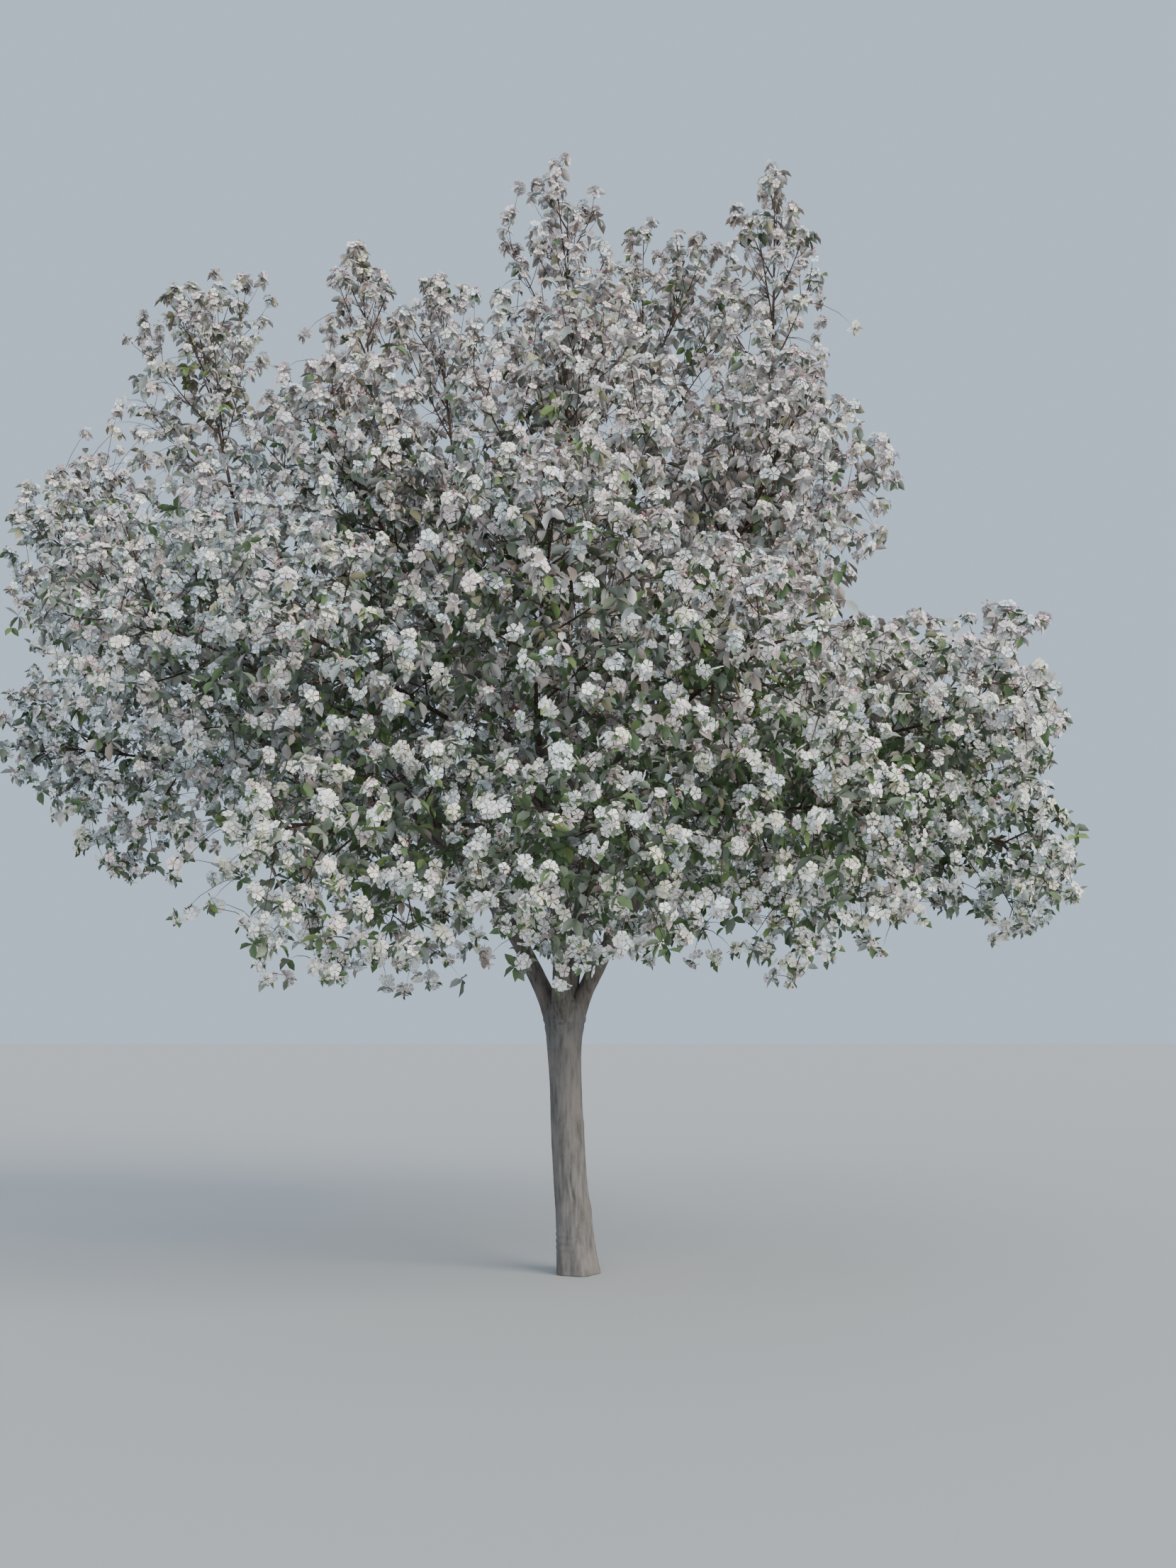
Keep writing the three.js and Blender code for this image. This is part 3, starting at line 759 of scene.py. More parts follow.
def side_shoots(parents, spacing, first, length, radii, points, use, slack):
    """Shoots along each parent at a spacing, turned by the golden turn, shorter towards its tip.

    They hang a little in the skirts of the crown, and bend upward and keep closer in its leaders.
    """
    count = np.maximum(np.round(parents.lengths() * (1 - first) / spacing), 1).astype(int)
    rows, order = runs(count)
    keys = parents.keys[rows] * 1.7 + order * 3.1 + use
    shares = between(first, LAST_SHOOT, (order + draw(keys, 1)) / count[rows])
    starts, tangents = parents.at(rows, shares)
    rise = rise_of(starts[:, 2])
    tilt = between(*SHOOT_TILTS, rise) + SHOOT_TILT_DRAW * draw(keys, 2)
    ways = lean_from(tangents, tilt, order * GOLDEN_TURN + draw(keys, 3) * 50 + rows * 61.0)
    owners = parents.owners[rows]
    lengths = between(*length, draw(keys, 4)) * between(*SHOOT_FALLING, shares)
    lengths = lengths * between(1, LEADER_SHARE, leading_of(owners))
    lift = between(*SHOOT_LIFTS, rise) * between(*SHOOT_LIFT_DRAW, draw(keys, 5))
    paths, kept = fitted(starts, ways, lengths, lift, points, owners, slack)
    return Shoots(paths, *radii, owners, keys).only(kept)


def level_of(wood, table, spacing):
    """One level of side shoots, on each kind of wood in its table."""
    return joined([side_shoots(wood[kind], spacing * share, *rest) for kind, share, *rest in table])


def along_curves(curves, owners, thin, first_key):
    """Centre lines as parents of shoots: points at even shares of each cubic curve."""
    shares = np.linspace(0, 1, STEM_POINTS)
    paths = np.stack([curve_points(curve, shares) for curve in curves])
    return Shoots(paths, LIMB_TIP_RADIUS, thin, np.array(owners), np.arange(len(paths)) + first_key)


def limb_lines():
    """The limbs' and boughs' centre lines, as parents of the shoots inside the crown."""
    limbs = [mass for mass in masses() if mass.limb is not None]
    curves = [mass.limb for mass in limbs] + [bough_curve(name) for name in BOUGHS]
    owners = [mass.number - 1 for mass in limbs] + [masses_of(name)[0] for name in BOUGHS]
    return along_curves(curves, owners, LIMB_TIP_RADIUS, 5000.0)


@functools.cache
def wood_samples():
    """Points along the trunk, boughs and limbs, and the radius of the wood at each."""
    shares = np.linspace(0, 1, WOOD_SAMPLES)
    points = [trunk_centre(np.linspace(0, HEAD_HEIGHT, WOOD_SAMPLES))]
    radii = [np.full(WOOD_SAMPLES, HEAD_RADIUS)]
    for name in BOUGHS:
        points.append(curve_points(bough_curve(name), shares))
        radii.append(between(BOUGH_FOOT_RADIUS, BOUGH_TIP_RADIUS, shares))
    for mass in masses():
        if mass.limb is not None:
            points.append(curve_points(mass.limb, shares))
            radii.append(np.full(WOOD_SAMPLES, LIMB_TIP_RADIUS * LIMB_MEAN_SHARE))
    return np.concatenate(points), np.concatenate(radii)


def in_batches(points, size, value_of):
    """The values of many points, worked out a batch at a time to spare memory."""
    starts = range(0, max(len(points), 1), size)
    return np.concatenate([value_of(points[start:start + size]) for start in starts])


def wood_gaps(points):
    """How far each point stands from the skin of the trunk, boughs and limbs."""
    samples, radii = wood_samples()
    return in_batches(
        points, GAP_BATCH,
        lambda some: (np.linalg.norm(some[:, None] - samples, axis=-1) - radii).min(-1))


def clear_of_wood(points):
    """Whether each point stands off the wood, and outside the window that shows the fork."""
    aside = np.abs(points[:, 0] + TRUNK_LEAN)
    return (wood_gaps(points) > WOOD_ROOM) & ((aside > FORK_WINDOW[0]) | (points[:, 2] > FORK_WINDOW[1]))


def nearest(points, samples):
    """The number of the sample nearest each point, by |a|² - 2 a·b."""
    squares = (samples * samples).sum(-1)
    return in_batches(points, NEAREST_BATCH, lambda some: (squares - 2 * some @ samples.T).argmin(-1))


def cell_codes(points, room):
    """One whole number for the cube of air that each point stands in."""
    x, y, z = (np.floor(points / room).astype(np.int64) + CELL_MIDDLE).T
    return (x * CELL_SPAN + y) * CELL_SPAN + z


def roomy(points, keys, room):
    """Whether each point is the first that its own cube of air goes to, where a draw sets the order."""
    code = cell_codes(points, room[:, None])
    order = np.lexsort((draw(keys, 13), code))
    first = np.ones(len(points), bool)
    first[order[1:]] = code[order[1:]] != code[order[:-1]]
    return first


def empty_air(taken, room):
    """The middles, a little off, of the cubes of the crown's air that hold none of the points taken.

    The crown's air is that of its masses, of a sleeve round the boughs and limbs, and of the pockets.
    """
    low, high = np.floor(np.array(CAD_BOX) / room).astype(int)
    grid = np.stack(np.meshgrid(*[np.arange(a, b + 1) for a, b in zip(low, high)], indexing="ij"), -1)
    middles = (grid.reshape(-1, 3) + 0.5) * room
    middles = middles[~np.isin(cell_codes(middles, room), cell_codes(taken, room))]
    sleeve = (wood_gaps(middles) < SLEEVE_REACH) & (middles[:, 2] > SLEEVE_FOOT)
    slack = between(SKIRT_SLACK, 1.0, smooth_step(*SKIRT_HEIGHTS, middles[:, 2])) * ragged(middles)
    pocket = np.any([np.linalg.norm(middles - spot, axis=-1) < reach for spot, reach in POCKETS], axis=0)
    middles = middles[inside_crown(middles, slack) | sleeve | pocket]
    keys = cell_codes(middles, room) % 99991 * 0.731
    return middles + jitter(keys, 1, 2, 3) * room * FILL_JITTER


def filling_shoots(parents, taken, room):
    """Shoots from the nearest wood into the air that stands empty: start + step·t + up·arch·t·(1 - t).

    Where a draw for a cube falls under the share of open air at its height and reach, it stays empty.
    """
    ends = empty_air(taken, room)
    rows = np.repeat(np.arange(len(parents.paths)), FOOT_SAMPLES)
    shares = np.tile(np.linspace(*FILL_FEET, FOOT_SAMPLES), len(parents.paths))
    samples, _ = parents.at(rows, shares)
    found = nearest(ends, samples)
    starts = samples[found]
    spans = np.linalg.norm(ends - starts, axis=-1)
    owners = parents.owners[rows[found]]
    x, _, height = ends.T
    aloft = smooth_step(*OPEN_AIR_HEIGHTS, height)
    to_right = smooth_step(*OPEN_AIR_REACH, x) * smooth_step(*OPEN_AIR_FOOT, height) * OPEN_AIR_SHARE
    open_air = draw(np.arange(len(ends)) * 0.83, 4) < np.maximum(aloft, to_right)
    least, most = FILL_SPANS
    keep = (spans < most) & (spans > least) & ~open_air & clear_of_wood(ends) & in_box(ends, BOX_ROOM)
    starts, ends, spans, owners = starts[keep], ends[keep], spans[keep], owners[keep]
    t = np.linspace(0, 1, FILL_POINTS)[None, :, None]
    arch = UP * (spans * FILL_ARCH)[:, None, None]
    paths = starts[:, None] + (ends - starts)[:, None] * t + arch * t * (1 - t)
    return Shoots(paths, *FILL_RADII, owners, np.arange(len(paths)) * 1.37 + 9000)


def whips(parents):
    """Single long shoots over the crown, almost upright, from the highest twig tips of a mass.

    Each goes half its twig's own way outward, a drawn way aside and a steady slope up, to under the top.
    """
    tips = parents.ends()
    rows = []
    for mass in masses():
        own = np.flatnonzero(parents.owners == mass.number - 1)
        rows.extend(own[np.argsort(-tips[own, 2])][:WHIPS.get(mass.name, 0)])
    rows = np.array(rows)
    keys = rows * 2.3 + 8000
    out = unit(tips[rows] - parents.paths[rows, 0]) * np.array([0.5, 0.5, 0])
    slope = np.full((len(rows), 1), WHIP_SLOPE)
    ways = unit(out + np.concatenate([jitter(keys, 1, 2), slope], -1))
    top = CAD_BOX[1][2] - WHIP_ROOM
    lengths = np.minimum(between(*WHIP_LENGTHS, draw(keys, 3)), (top - tips[rows, 2]) / ways[:, 2])
    paths = grown_paths(tips[rows], ways, lengths, np.zeros(len(rows)), SHOOT_POINTS)
    return Shoots(paths, *WHIP_RADII, parents.owners[rows], keys).only(lengths > WHIP_LEAST)


@functools.cache
def crown():
    """Every twig, shoot and spur of the crown, level by level."""
    settings = bpy.context.scene.tree_settings
    stems = along_curves([mass.stem for mass in masses()], range(len(MASSES)), STEM_TIP_RADIUS, 7000.0)
    twigs = joined([stem_twigs(mass, settings.twig_count) for mass in masses()])
    wood = {"stems": stems, "twigs": twigs, "limbs": limb_lines(), "whips": whips(twigs)}
    shoots = level_of(wood, SHOOTS, settings.shoot_spacing)
    shoots = wood["shoots"] = shoots.only(clear_of_wood(shoots.ends()))
    spurs = level_of(wood, SPURS, settings.spur_spacing)
    ends = spurs.ends()
    air = between(*SPUR_ROOMS, rise_of(ends[:, 2]))
    air = between(air, LEADER_SPUR_ROOM, leading_of(spurs.owners))
    spurs = spurs.only(roomy(ends, spurs.keys, settings.spur_room * air) & clear_of_wood(ends))
    taken = np.concatenate([group.ends() for group in (stems, twigs, shoots, spurs)])
    feet = joined([group.resampled(SHOOT_POINTS) for group in (shoots, twigs, stems)])
    return {
        "stems": stems, "twigs": twigs, "shoots": shoots, "spurs": spurs,
        "fills": filling_shoots(feet, taken, settings.filling_room),
        "whips": wood["whips"], "whip_spurs": level_of(wood, WHIP_SPURS, settings.spur_spacing)}


def basis(ways, spin):
    """Turned right-handed frames with Z along each way: (n, 3, 3), one axis in each row."""
    x = unit(np.cross(aside_from(ways), ways))
    y = np.cross(ways, x)
    c, s = np.cos(spin)[:, None], np.sin(spin)[:, None]
    return np.stack([x * c + y * s, y * c - x * s, ways], 1)


def copied_faces(faces, copies, points):
    """The faces of so many copies of a mesh of so many points, one after the other."""
    return (faces + np.arange(copies)[:, None, None] * points).reshape(-1, 3)


def stamped(shape, starts, frames, sizes, shades, owners):
    """Copies of one small shape, each turned by its frame, scaled and moved.

    They come as one mesh's points and faces, and each face's shade and owner.
    """
    outline, faces = shape
    points = starts[:, None] + np.einsum("pk,nkc->npc", outline, frames) * sizes[:, None, None]
    copies = copied_faces(faces, len(starts), len(outline))
    return points.reshape(-1, 3), copies, np.repeat(shades, len(faces)), np.repeat(owners, len(faces))


def flower_shape():
    """Five cupped kite petals about Z, each of two faces, with the tips at radius 1."""
    x, y, z = np.array([[0.06, 0, 0.0], [0.74, -0.43, 0.22], [1.0, 0, 0.22], [0.74, 0.43, 0.22]]).T
    turn = turns(5)[:, None]
    tip_lift = np.array([0.0, 0.0, 0.10, 0.0, 0.06])[:, None] * (x > 0.9)
    points = np.stack(
        [x * np.cos(turn) - y * np.sin(turn), x * np.sin(turn) + y * np.cos(turn), z + tip_lift], -1)
    return points.reshape(-1, 3), copied_faces(np.array([[0, 1, 3], [1, 2, 3]]), 5, 4)


def heart_shape():
    """The heart of a flower: one three-cornered face, a little over the foot of its petals."""
    return np.array([[0.20, 0, 0.16], [-0.10, 0.17, 0.16], [-0.10, -0.17, 0.16]]), np.array([[0, 1, 2]])


def leaf_shape():
    """A leaf along Z, of length 1: four faces about a midrib, with raised edges and its tip bent over."""
    points = np.array([
        [0, 0, 0], [0.23, 0.06, 0.30], [0.22, 0.02, 0.66],
        [0, -0.22, 0.96], [-0.22, 0.02, 0.66], [-0.23, 0.06, 0.30]])
    return points, np.array([[0, 2, 1], [0, 3, 2], [0, 4, 3], [0, 5, 4]])


def bud_shape():
    """A three-sided bud that opens upward along Z from its foot, of length 1."""
    turn = turns(3)
    ring = np.stack([np.cos(turn) * 0.42, np.sin(turn) * 0.42, np.full(3, 0.85)], -1)
    points = np.concatenate([[[0, 0, 0]], ring])
    return points, np.array([[0, 2, 1], [0, 3, 2], [0, 1, 3], [1, 2, 3]])


def shade_shares(points):
    """How far each point belongs to the low and right of the crown, to its left side, and to its top: the
    places of painted sunlight, of painted side shade and of painted top shade.
    """
    across, height = -points[:, 0], points[:, 2]
    left = smooth_step(*LEFT_SPAN, across) * smooth_step(*LEFT_FOOT, height)
    left = left * (1 - smooth_step(*LEFT_HEAD, height))
    top = (1 - left) * smooth_step(*TOP_HEIGHTS, height)
    return np.stack([1 - top - left, left, top], -1)


def dealt(shades, keys, points):
    """The number of a shade for each spray, by how often each comes at that place in the crown, so that the
    shades paint sunlight low and right and shade on the left side and on top.
    """
    often = np.array([shade[1:] for shade in shades.values()])
    steps = shade_shares(points) @ (np.cumsum(often, 0) / often.sum(0)).T
    return (draw(keys, 9)[:, None] > steps[:, :-1]).sum(-1)


class Sprays:
    """The sprays of flower and leaf: one on every spur, and at the tip of every stem, twig and shoot."""

    def __init__(self, groups):
        tips = joined([group.along(group.paths[:, -2:]) for group in groups])
        self.ends = tips.ends()
        self.ways = unit(self.ends - tips.paths[:, 0])
        self.upward = unit(self.ways + UP * SPRAY_RISE)
        self.owners = tips.owners
        self.keys = tips.keys + 0.5
        self.shade_keys = np.floor(self.keys / 1.9)
        self.low, _, self.high = shade_shares(self.ends).T
        kind = draw(self.keys, 21)
        deep = buried(self.ends, DEEP) > ALL_SIDES
        inner = buried(self.ends, RIM) > MOST_SIDES
        self.leafy = deep | (kind > between(*FLOWERING, self.low * inner))
        budding = ~deep & (kind < BUDDING)
        flowers = self.drawn(between(*FLOWER_COUNTS, self.low), 22, FLOWER_DRAW)
        buds = self.drawn(0, 23, BUD_DRAW)
        self.flowers = np.where(self.leafy, 0, np.where(budding, BUDDING_FLOWERS, flowers))
        self.buds = np.where(self.leafy, 0, np.where(budding, BUDDING_BUDS, buds))
        self.leaves = np.where(self.leafy, LEAFY_LEAVES, self.drawn(LEAF_COUNT, 24, LEAF_DRAW))

    def drawn(self, least, use, span):
        """A whole number for each spray: the least and a draw of up to a span over it."""
        return (least + draw(self.keys, use) * span).astype(int)

    def spread(self, counts, use, tilts):
        """Rows for so many parts of each spray, with their keys, ways dealt round its own, and turns."""
        rows, order = runs(counts)
        keys = self.keys[rows] + order * 0.37 + use
        tilt = between(*tilts, (order + draw(keys, 1)) / counts[rows])
        turn = order * GOLDEN_TURN + draw(self.keys[rows], 2) * 360
        return rows, keys, lean_from(self.upward[rows], tilt, turn), turn


def flower_parts(sprays, radius):
    """The petals, hearts and stalks of the open flowers.

    A flower's middle stands at end + aim·reach - way·back, and it faces along aim + a little up + a draw.
    Its petals are cupped by a drawn height, and its stalk is one thin face from the spur to its middle.
    """
    rows, keys, aim, _ = sprays.spread(sprays.flowers, 51, FLOWER_TILTS)
    ends, owners = sprays.ends[rows], sprays.owners[rows]
    reach = between(*FLOWER_REACH, draw(keys, 3)) * between(1, LOW_REACH, sprays.low[rows])
    back = draw(keys, 11) ** 1.5 * FLOWER_BACK
    centres = ends + aim * reach[:, None] - sprays.ways[rows] * back[:, None]
    facing = unit(aim + sprays.upward[rows] * FLOWER_UP + jitter(keys, 4, 5, 6) * FLOWER_JITTER)
    sizes = radius * between(*FLOWER_SIZES, draw(keys, 7))
    frames = basis(facing, draw(keys, 8) * 2 * np.pi)
    cup = between(*PETAL_CUP, draw(keys, 10))
    cupped = frames * np.stack([np.ones_like(cup), np.ones_like(cup), cup], -1)[:, :, None]
    # Petal shades by place: painted sunlight low and right, painted shade on the left side and on top
    shades = dealt(PETAL_SHADES, sprays.shade_keys, sprays.ends)[rows]
    plain_shades = np.zeros(len(rows), int)
    side = unit(np.cross(aim, facing) + 1e-6) * STALK_RADIUS
    stalks = np.stack([ends + side, ends - side, centres], 1).reshape(-1, 3)
    return {
        "petals": stamped(flower_shape(), centres, cupped, sizes, shades, owners),
        "hearts": stamped(heart_shape(), centres, frames, sizes, plain_shades, owners),
        "pedicels": (stalks, np.arange(len(stalks)).reshape(-1, 3), plain_shades, owners),
    }


def bud_part(sprays):
    """The buds: each stands a little off the end of its spray and points straight away from it."""
    rows, keys, aim, turn = sprays.spread(sprays.buds, 61, BUD_TILTS)
    sizes = between(*BUD_LENGTHS, draw(keys, 3))
    starts = sprays.ends[rows] + aim * between(*BUD_REACH, draw(keys, 4))[:, None]
    shades = dealt(BUD_SHADES, keys, starts)
    return stamped(bud_shape(), starts, basis(aim, turn), sizes, shades, sprays.owners[rows])


def leaf_part(sprays, length):
    """The leaves, dealt round each spray's end, which droop a little, and most of all towards the top."""
    rows, keys, aim, _ = sprays.spread(sprays.leaves, 71, LEAF_TILTS)
    ends, high = sprays.ends[rows], sprays.high[rows]
    aim = unit(aim - UP * between(*LEAF_DROOP, high)[:, None])
    sizes = length * between(*LEAF_SIZES, draw(keys, 3)) * between(1, HIGH_LEAF_SIZE, high)
    sizes = sizes * np.where(sprays.leafy, LEAFY_SIZE, 1.0)[rows]
    # Leaf shades by place: darker low and right, lighter on the left side and on top, partly painted light
    shades = dealt(LEAF_SHADES, sprays.shade_keys[rows] + np.floor(draw(keys, 5) * 3), ends)
    frames = leaf_frames(aim, draw(keys, 4))
    return stamped(leaf_shape(), ends, frames, sizes, shades, sprays.owners[rows])


@functools.cache
def blossom_parts():
    """Petals, hearts, pedicels, buds and leaves: the points, faces, shades and owners of each."""
    settings = bpy.context.scene.tree_settings
    sprays = Sprays(crown().values())
    parts = flower_parts(sprays, settings.flower_radius)
    return {**parts, "buds": bud_part(sprays), "leaves": leaf_part(sprays, settings.leaf_length)}


def leaf_frames(ways, roll):
    """Frames with Z along each leaf and Y to its upper face, which looks up but for a small roll."""
    frames = basis(ways, np.zeros(len(ways)))
    across = unit(np.cross(UP, ways) + frames[:, 0] * 1e-3)
    upper = np.cross(ways, across)
    angle = (roll - 0.5)[:, None] * LEAF_ROLL
    x = across * np.cos(angle) + upper * np.sin(angle)
    return np.stack([x, np.cross(ways, x), ways], 1)


def outward(paths, sides, upright):
    """Unit vectors square to each path at each of its points, one for each side of its ring.

    With x and y square to the tangent, they are x·cos(turn) + y·sin(turn).
    """
    tangents = unit(np.gradient(paths, axis=-2))
    across = aside_from(unit(tangents.mean(-2)), upright)[..., None, :]
    x = unit(np.cross(across, tangents))
    y = np.cross(tangents, x)
    turn = turns(sides)[:, None]
    return x[..., None, :] * np.cos(turn) + y[..., None, :] * np.sin(turn)


def wall_faces(rings, sides):
    """Two faces between each two neighbours on each two rings."""
    i, j = np.meshgrid(np.arange(rings - 1), np.arange(sides), indexing="ij")
    a, b = i * sides + j, i * sides + (j + 1) % sides
    return np.stack([a, b, b + sides, a, b + sides, a + sides], -1).reshape(-1, 3)


def fan_faces(ring, sides, hub):
    """A face from each side of a ring to one point above it."""
    around = np.arange(sides)
    return np.stack([ring * sides + around, ring * sides + (around + 1) % sides, np.full(sides, hub)], -1)


def closed_faces(rings, sides):
    """The faces of a tube with both ends closed, each round a point of its own after the rings' points."""
    hub = rings * sides
    foot = fan_faces(0, sides, hub)[:, [1, 0, 2]]
    return np.concatenate([wall_faces(rings, sides), foot, fan_faces(rings - 1, sides, hub + 1)])


def shoot_tubes(shoots, sides):
    """Many tapering tubes at once, path + out·radius, and the owner of each face.

    The radius falls evenly from foot to tip, where each is drawn in to a point.
    """
    count, points = shoots.paths.shape[:2]
    radii = between(shoots.thick[:, None], shoots.thin[:, None], np.linspace(0, 1, points)[None])
    out = outward(shoots.paths, sides, UPRIGHT_TUBE)[:, :-1]
    rings = shoots.paths[:, :-1, None] + out * radii[:, :-1, None, None]
    vertices = np.concatenate([rings.reshape(count, -1, 3), shoots.paths[:, -1:]], 1)
    hub = (points - 1) * sides
    faces = np.concatenate([wall_faces(points - 1, sides), fan_faces(points - 2, sides, hub)])
    owners = np.repeat(shoots.owners, len(faces))
    return vertices.reshape(-1, 3), copied_faces(faces, count, hub + 1), owners


def bark_relief(points, out, seed, depth):
    """How far the bark stands out: the depth times a weighed sum of four waves.

    They are ridges that wander as they rise, long plates (half less the ripples' size to the 0.7) between
    cracks, lumps, and a fine grain. The first two are stretched upward.
    """
    wave_scale, plate_scale, lump_scale, grain_scale = RIDGE_SCALES
    tall = points * np.array([1, 1, 0.12]) + out * 0.01
    waves = (
        ripples(points * np.array([1, 1, 0.16]), wave_scale, seed),
        1 - np.abs(ripples(tall, plate_scale, seed + 1)) ** 0.7 - 0.5,
        ripples(points, lump_scale, seed + 2),
        ripples(points, grain_scale, seed + 3),
    )
    return depth * sum(wave * share for wave, share in zip(waves, RIDGE_SHARES))


def bark_tube(centres, radii, seed, depth):
    """A closed limb: centre + out·(radius + relief), on rings square to a path, closed at both ends."""
    out = outward(centres, radii.shape[1], UPRIGHT_LIMB)
    base = centres[:, None] + out * radii[..., None]
    points = centres[:, None] + out * (radii + bark_relief(base, out, seed, depth))[..., None]
    return np.concatenate([points.reshape(-1, 3), centres[:1], centres[-1:]]), closed_faces(*radii.shape)


def trunk_arrays(depth):
    """The trunk: centre + out·(radius + relief), by height and by angle.

    The radius is the solid's own: a body that tapers to the waist, a flare with lobes at the foot, and a
    swelling at the fork. A shoulder under each bough and the trunk's marks are added, and the head closes.
    """
    share = np.linspace(0, 1, TRUNK_RINGS)
    heights = HEAD_HEIGHT * np.minimum(share / BODY_SHARE, 1)
    closing = np.clip((share - BODY_SHARE) / CAP_SHARE, 0, 1)[:, None]
    h, a = heights[:, None], turns(TRUNK_SIDES)[None]
    flare = np.exp(-h / FLARE_HEIGHT)
    lobes = 1 + FLARE_LOBE_DEPTH * flare * np.cos(FLARE_LOBES * a)
    body = WAIST_RADIUS + FOOT_TAPER * np.maximum(1 - h / (FORK_HEIGHT * TAPER_END), 0)
    swell = (HEAD_RADIUS - WAIST_RADIUS) * hump(h, FORK_HEIGHT, HEAD_SWELL_REACH)
    radius = (body + (GROUND_RADIUS - body) * flare + swell) * lobes
    for name, (azimuth, *_) in BOUGHS.items():
        if name != "centre":
            shoulder = SHOULDER[0] * hump(turned_from(a, azimuth), 0, SHOULDER[1])
            radius = radius + shoulder * smooth_step(*SHOULDER_HEIGHTS, h)
    rise = np.maximum(h - FORK_HEIGHT, 0) / (HEAD_HEIGHT - FORK_HEIGHT)
    radius = radius * (1 - HEAD_DRAW_IN * rise ** 2) * (1 - closing ** 2 * CAP_DRAW_IN)
    radius = radius + trunk_marks(h, a)
    centres = trunk_centre(heights)
    out = np.stack([np.cos(a) + 0 * h, np.sin(a) + 0 * h, 0 * (h + a)], -1)
    base = centres[:, None] + out * radius[..., None]
    relief = bark_relief(base, out, 3, depth) * smooth_step(-0.02, 0.02, h) * (1 - closing)
    points = centres[:, None] + out * (radius + relief)[..., None]
    points[..., 2] += closing * CAP_RISE
    vertices = np.concatenate([points.reshape(-1, 3), centres[:1], points[-1:].mean(1)])
    return vertices, closed_faces(TRUNK_RINGS, TRUNK_SIDES)


def trunk_marks(h, a):
    """What sets this trunk apart: a healed slit with raised lips, low rings, lumps and the graft collar.

    Each is a hump in height times a hump in angle, and the slit's are two lips less a groove.
    """
    def mark(height, span, azimuth, width):
        return hump(h, height, span) * hump(turned_from(a, azimuth), 0, width)

    apart = turned_from(a, SLIT_AZIMUTH + SLIT_SWAY * np.sin(h * SLIT_WAVES)) * WAIST_RADIUS
    lip, lip_middle, lip_width = SLIT_LIPS
    groove, groove_width = SLIT_GROOVE
    across = lip * hump(np.abs(apart), lip_middle, lip_width) - groove * hump(apart, 0, groove_width)
    marks = hump(h, *SLIT_SPAN, 4) * across
    wave = np.sin((h - LOW_RING_FOOT) * 2 * np.pi / LOW_RING_SPACING)
    marks = marks + LOW_RING_DEPTH * wave * mark(*LOW_RINGS)
    for size, *where in LUMPS:
        marks = marks + size * mark(*where)
    return marks + sum(size * hump(h, *where) for size, *where in COLLAR)


def along_curve(curve, rings):
    """Evenly spaced points along a cubic curve, the share of its length at each, and its length."""
    fine = curve_points(curve, np.linspace(0, 1, 200))
    run = np.concatenate([[0], np.cumsum(np.linalg.norm(np.diff(fine, axis=0), axis=1))])
    even = np.linspace(0, run[-1], rings)
    points = np.stack([np.interp(even, run, fine[:, k]) for k in range(3)], -1)
    return points, even / run[-1], run[-1]


def limb_arrays(curve, foot, tip, mesh, seed, depth):
    """A tapering limb with a flared foot, knots along it and bark relief in proportion to its thickness.

    Its centre line wanders between its ends, and its radius falls evenly, times 1 + flare at the foot.
    """
    rings, sides, flare = mesh
    centres, share, length = along_curve(curve, rings)
    way = share * length
    far, wander_scale = WANDER
    depth_share, knot_scale = KNOTS
    wander = np.stack([ripples(centres, wander_scale, seed + k) for k in (5, 6, 7)], -1)
    ease = smooth_step(0, 0.25, way) * smooth_step(0, 0.2, length - way)
    centres = centres + wander * (far * ease)[:, None]
    radius = between(foot, tip, share) * (1 + flare * hump(way, 0, foot * 2.4))
    knots = ripples(centres, knot_scale, seed + 9) * depth_share
    radii = (radius * (1 + knots))[:, None] * np.ones(sides)[None]
    return bark_tube(centres, radii, seed, depth * min(1.0, foot / BOUGH_FOOT_RADIUS))


def stacked(arrays):
    """Several meshes' vertices and faces as one."""
    offset, vertices, faces = 0, [], []
    for points, triangles in arrays:
        vertices.append(points)
        faces.append(triangles + offset)
        offset += len(points)
    return np.concatenate(vertices), np.concatenate(faces)


def make_piece(name, vertices, faces, materials, shades=None, slot="blossom", stands_for=()):
    """One object at the origin from whole arrays, riding on the tree, with a material for each face."""
    mesh = bpy.data.meshes.new(name)
    mesh.vertices.add(len(vertices))
    mesh.vertices.foreach_set("co", np.ascontiguousarray(vertices, np.float32).ravel())
    mesh.loops.add(faces.size)
    mesh.loops.foreach_set("vertex_index", np.ascontiguousarray(faces, np.int32).ravel())
    mesh.polygons.add(len(faces))
    mesh.polygons.foreach_set("loop_start", np.arange(0, faces.size, 3, dtype=np.int32))
    mesh.polygons.foreach_set("use_smooth", np.ones(len(faces), bool))
    if shades is not None:
        mesh.polygons.foreach_set("material_index", np.ascontiguousarray(shades, np.int32))
    for material in materials:
        mesh.materials.append(material)
    mesh.update(calc_edges=True)
    piece = bpy.data.objects.new(name, mesh)
    bpy.context.scene.collection.objects.link(piece)
    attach(piece, BODY)
    if stands_for:
        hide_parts(*stands_for)


def make_share(bough, kind, arrays, materials, **options):
    """The piece of one kind that belongs to one bough's masses."""
    vertices, faces, shades, owners = arrays
    keep = np.isin(owners, masses_of(bough))
    used, fresh = np.unique(faces[keep], return_inverse=True)
    shades = shades[keep] if len(materials) > 1 else None
    make_piece(bough + "_" + kind, vertices[used], fresh.reshape(-1, 3), materials, shades, **options)


def node_material(name):
    """A new material with its nodes, its links and its shader."""
    material = bpy.data.materials.new(name)
    material.use_nodes = True
    nodes, links = material.node_tree.nodes, material.node_tree.links
    return material, nodes, links, nodes["Principled BSDF"]


def set_inputs(node, values):
    """Set a node's inputs by name."""
    for name, value in values.items():
        node.inputs[name].default_value = value


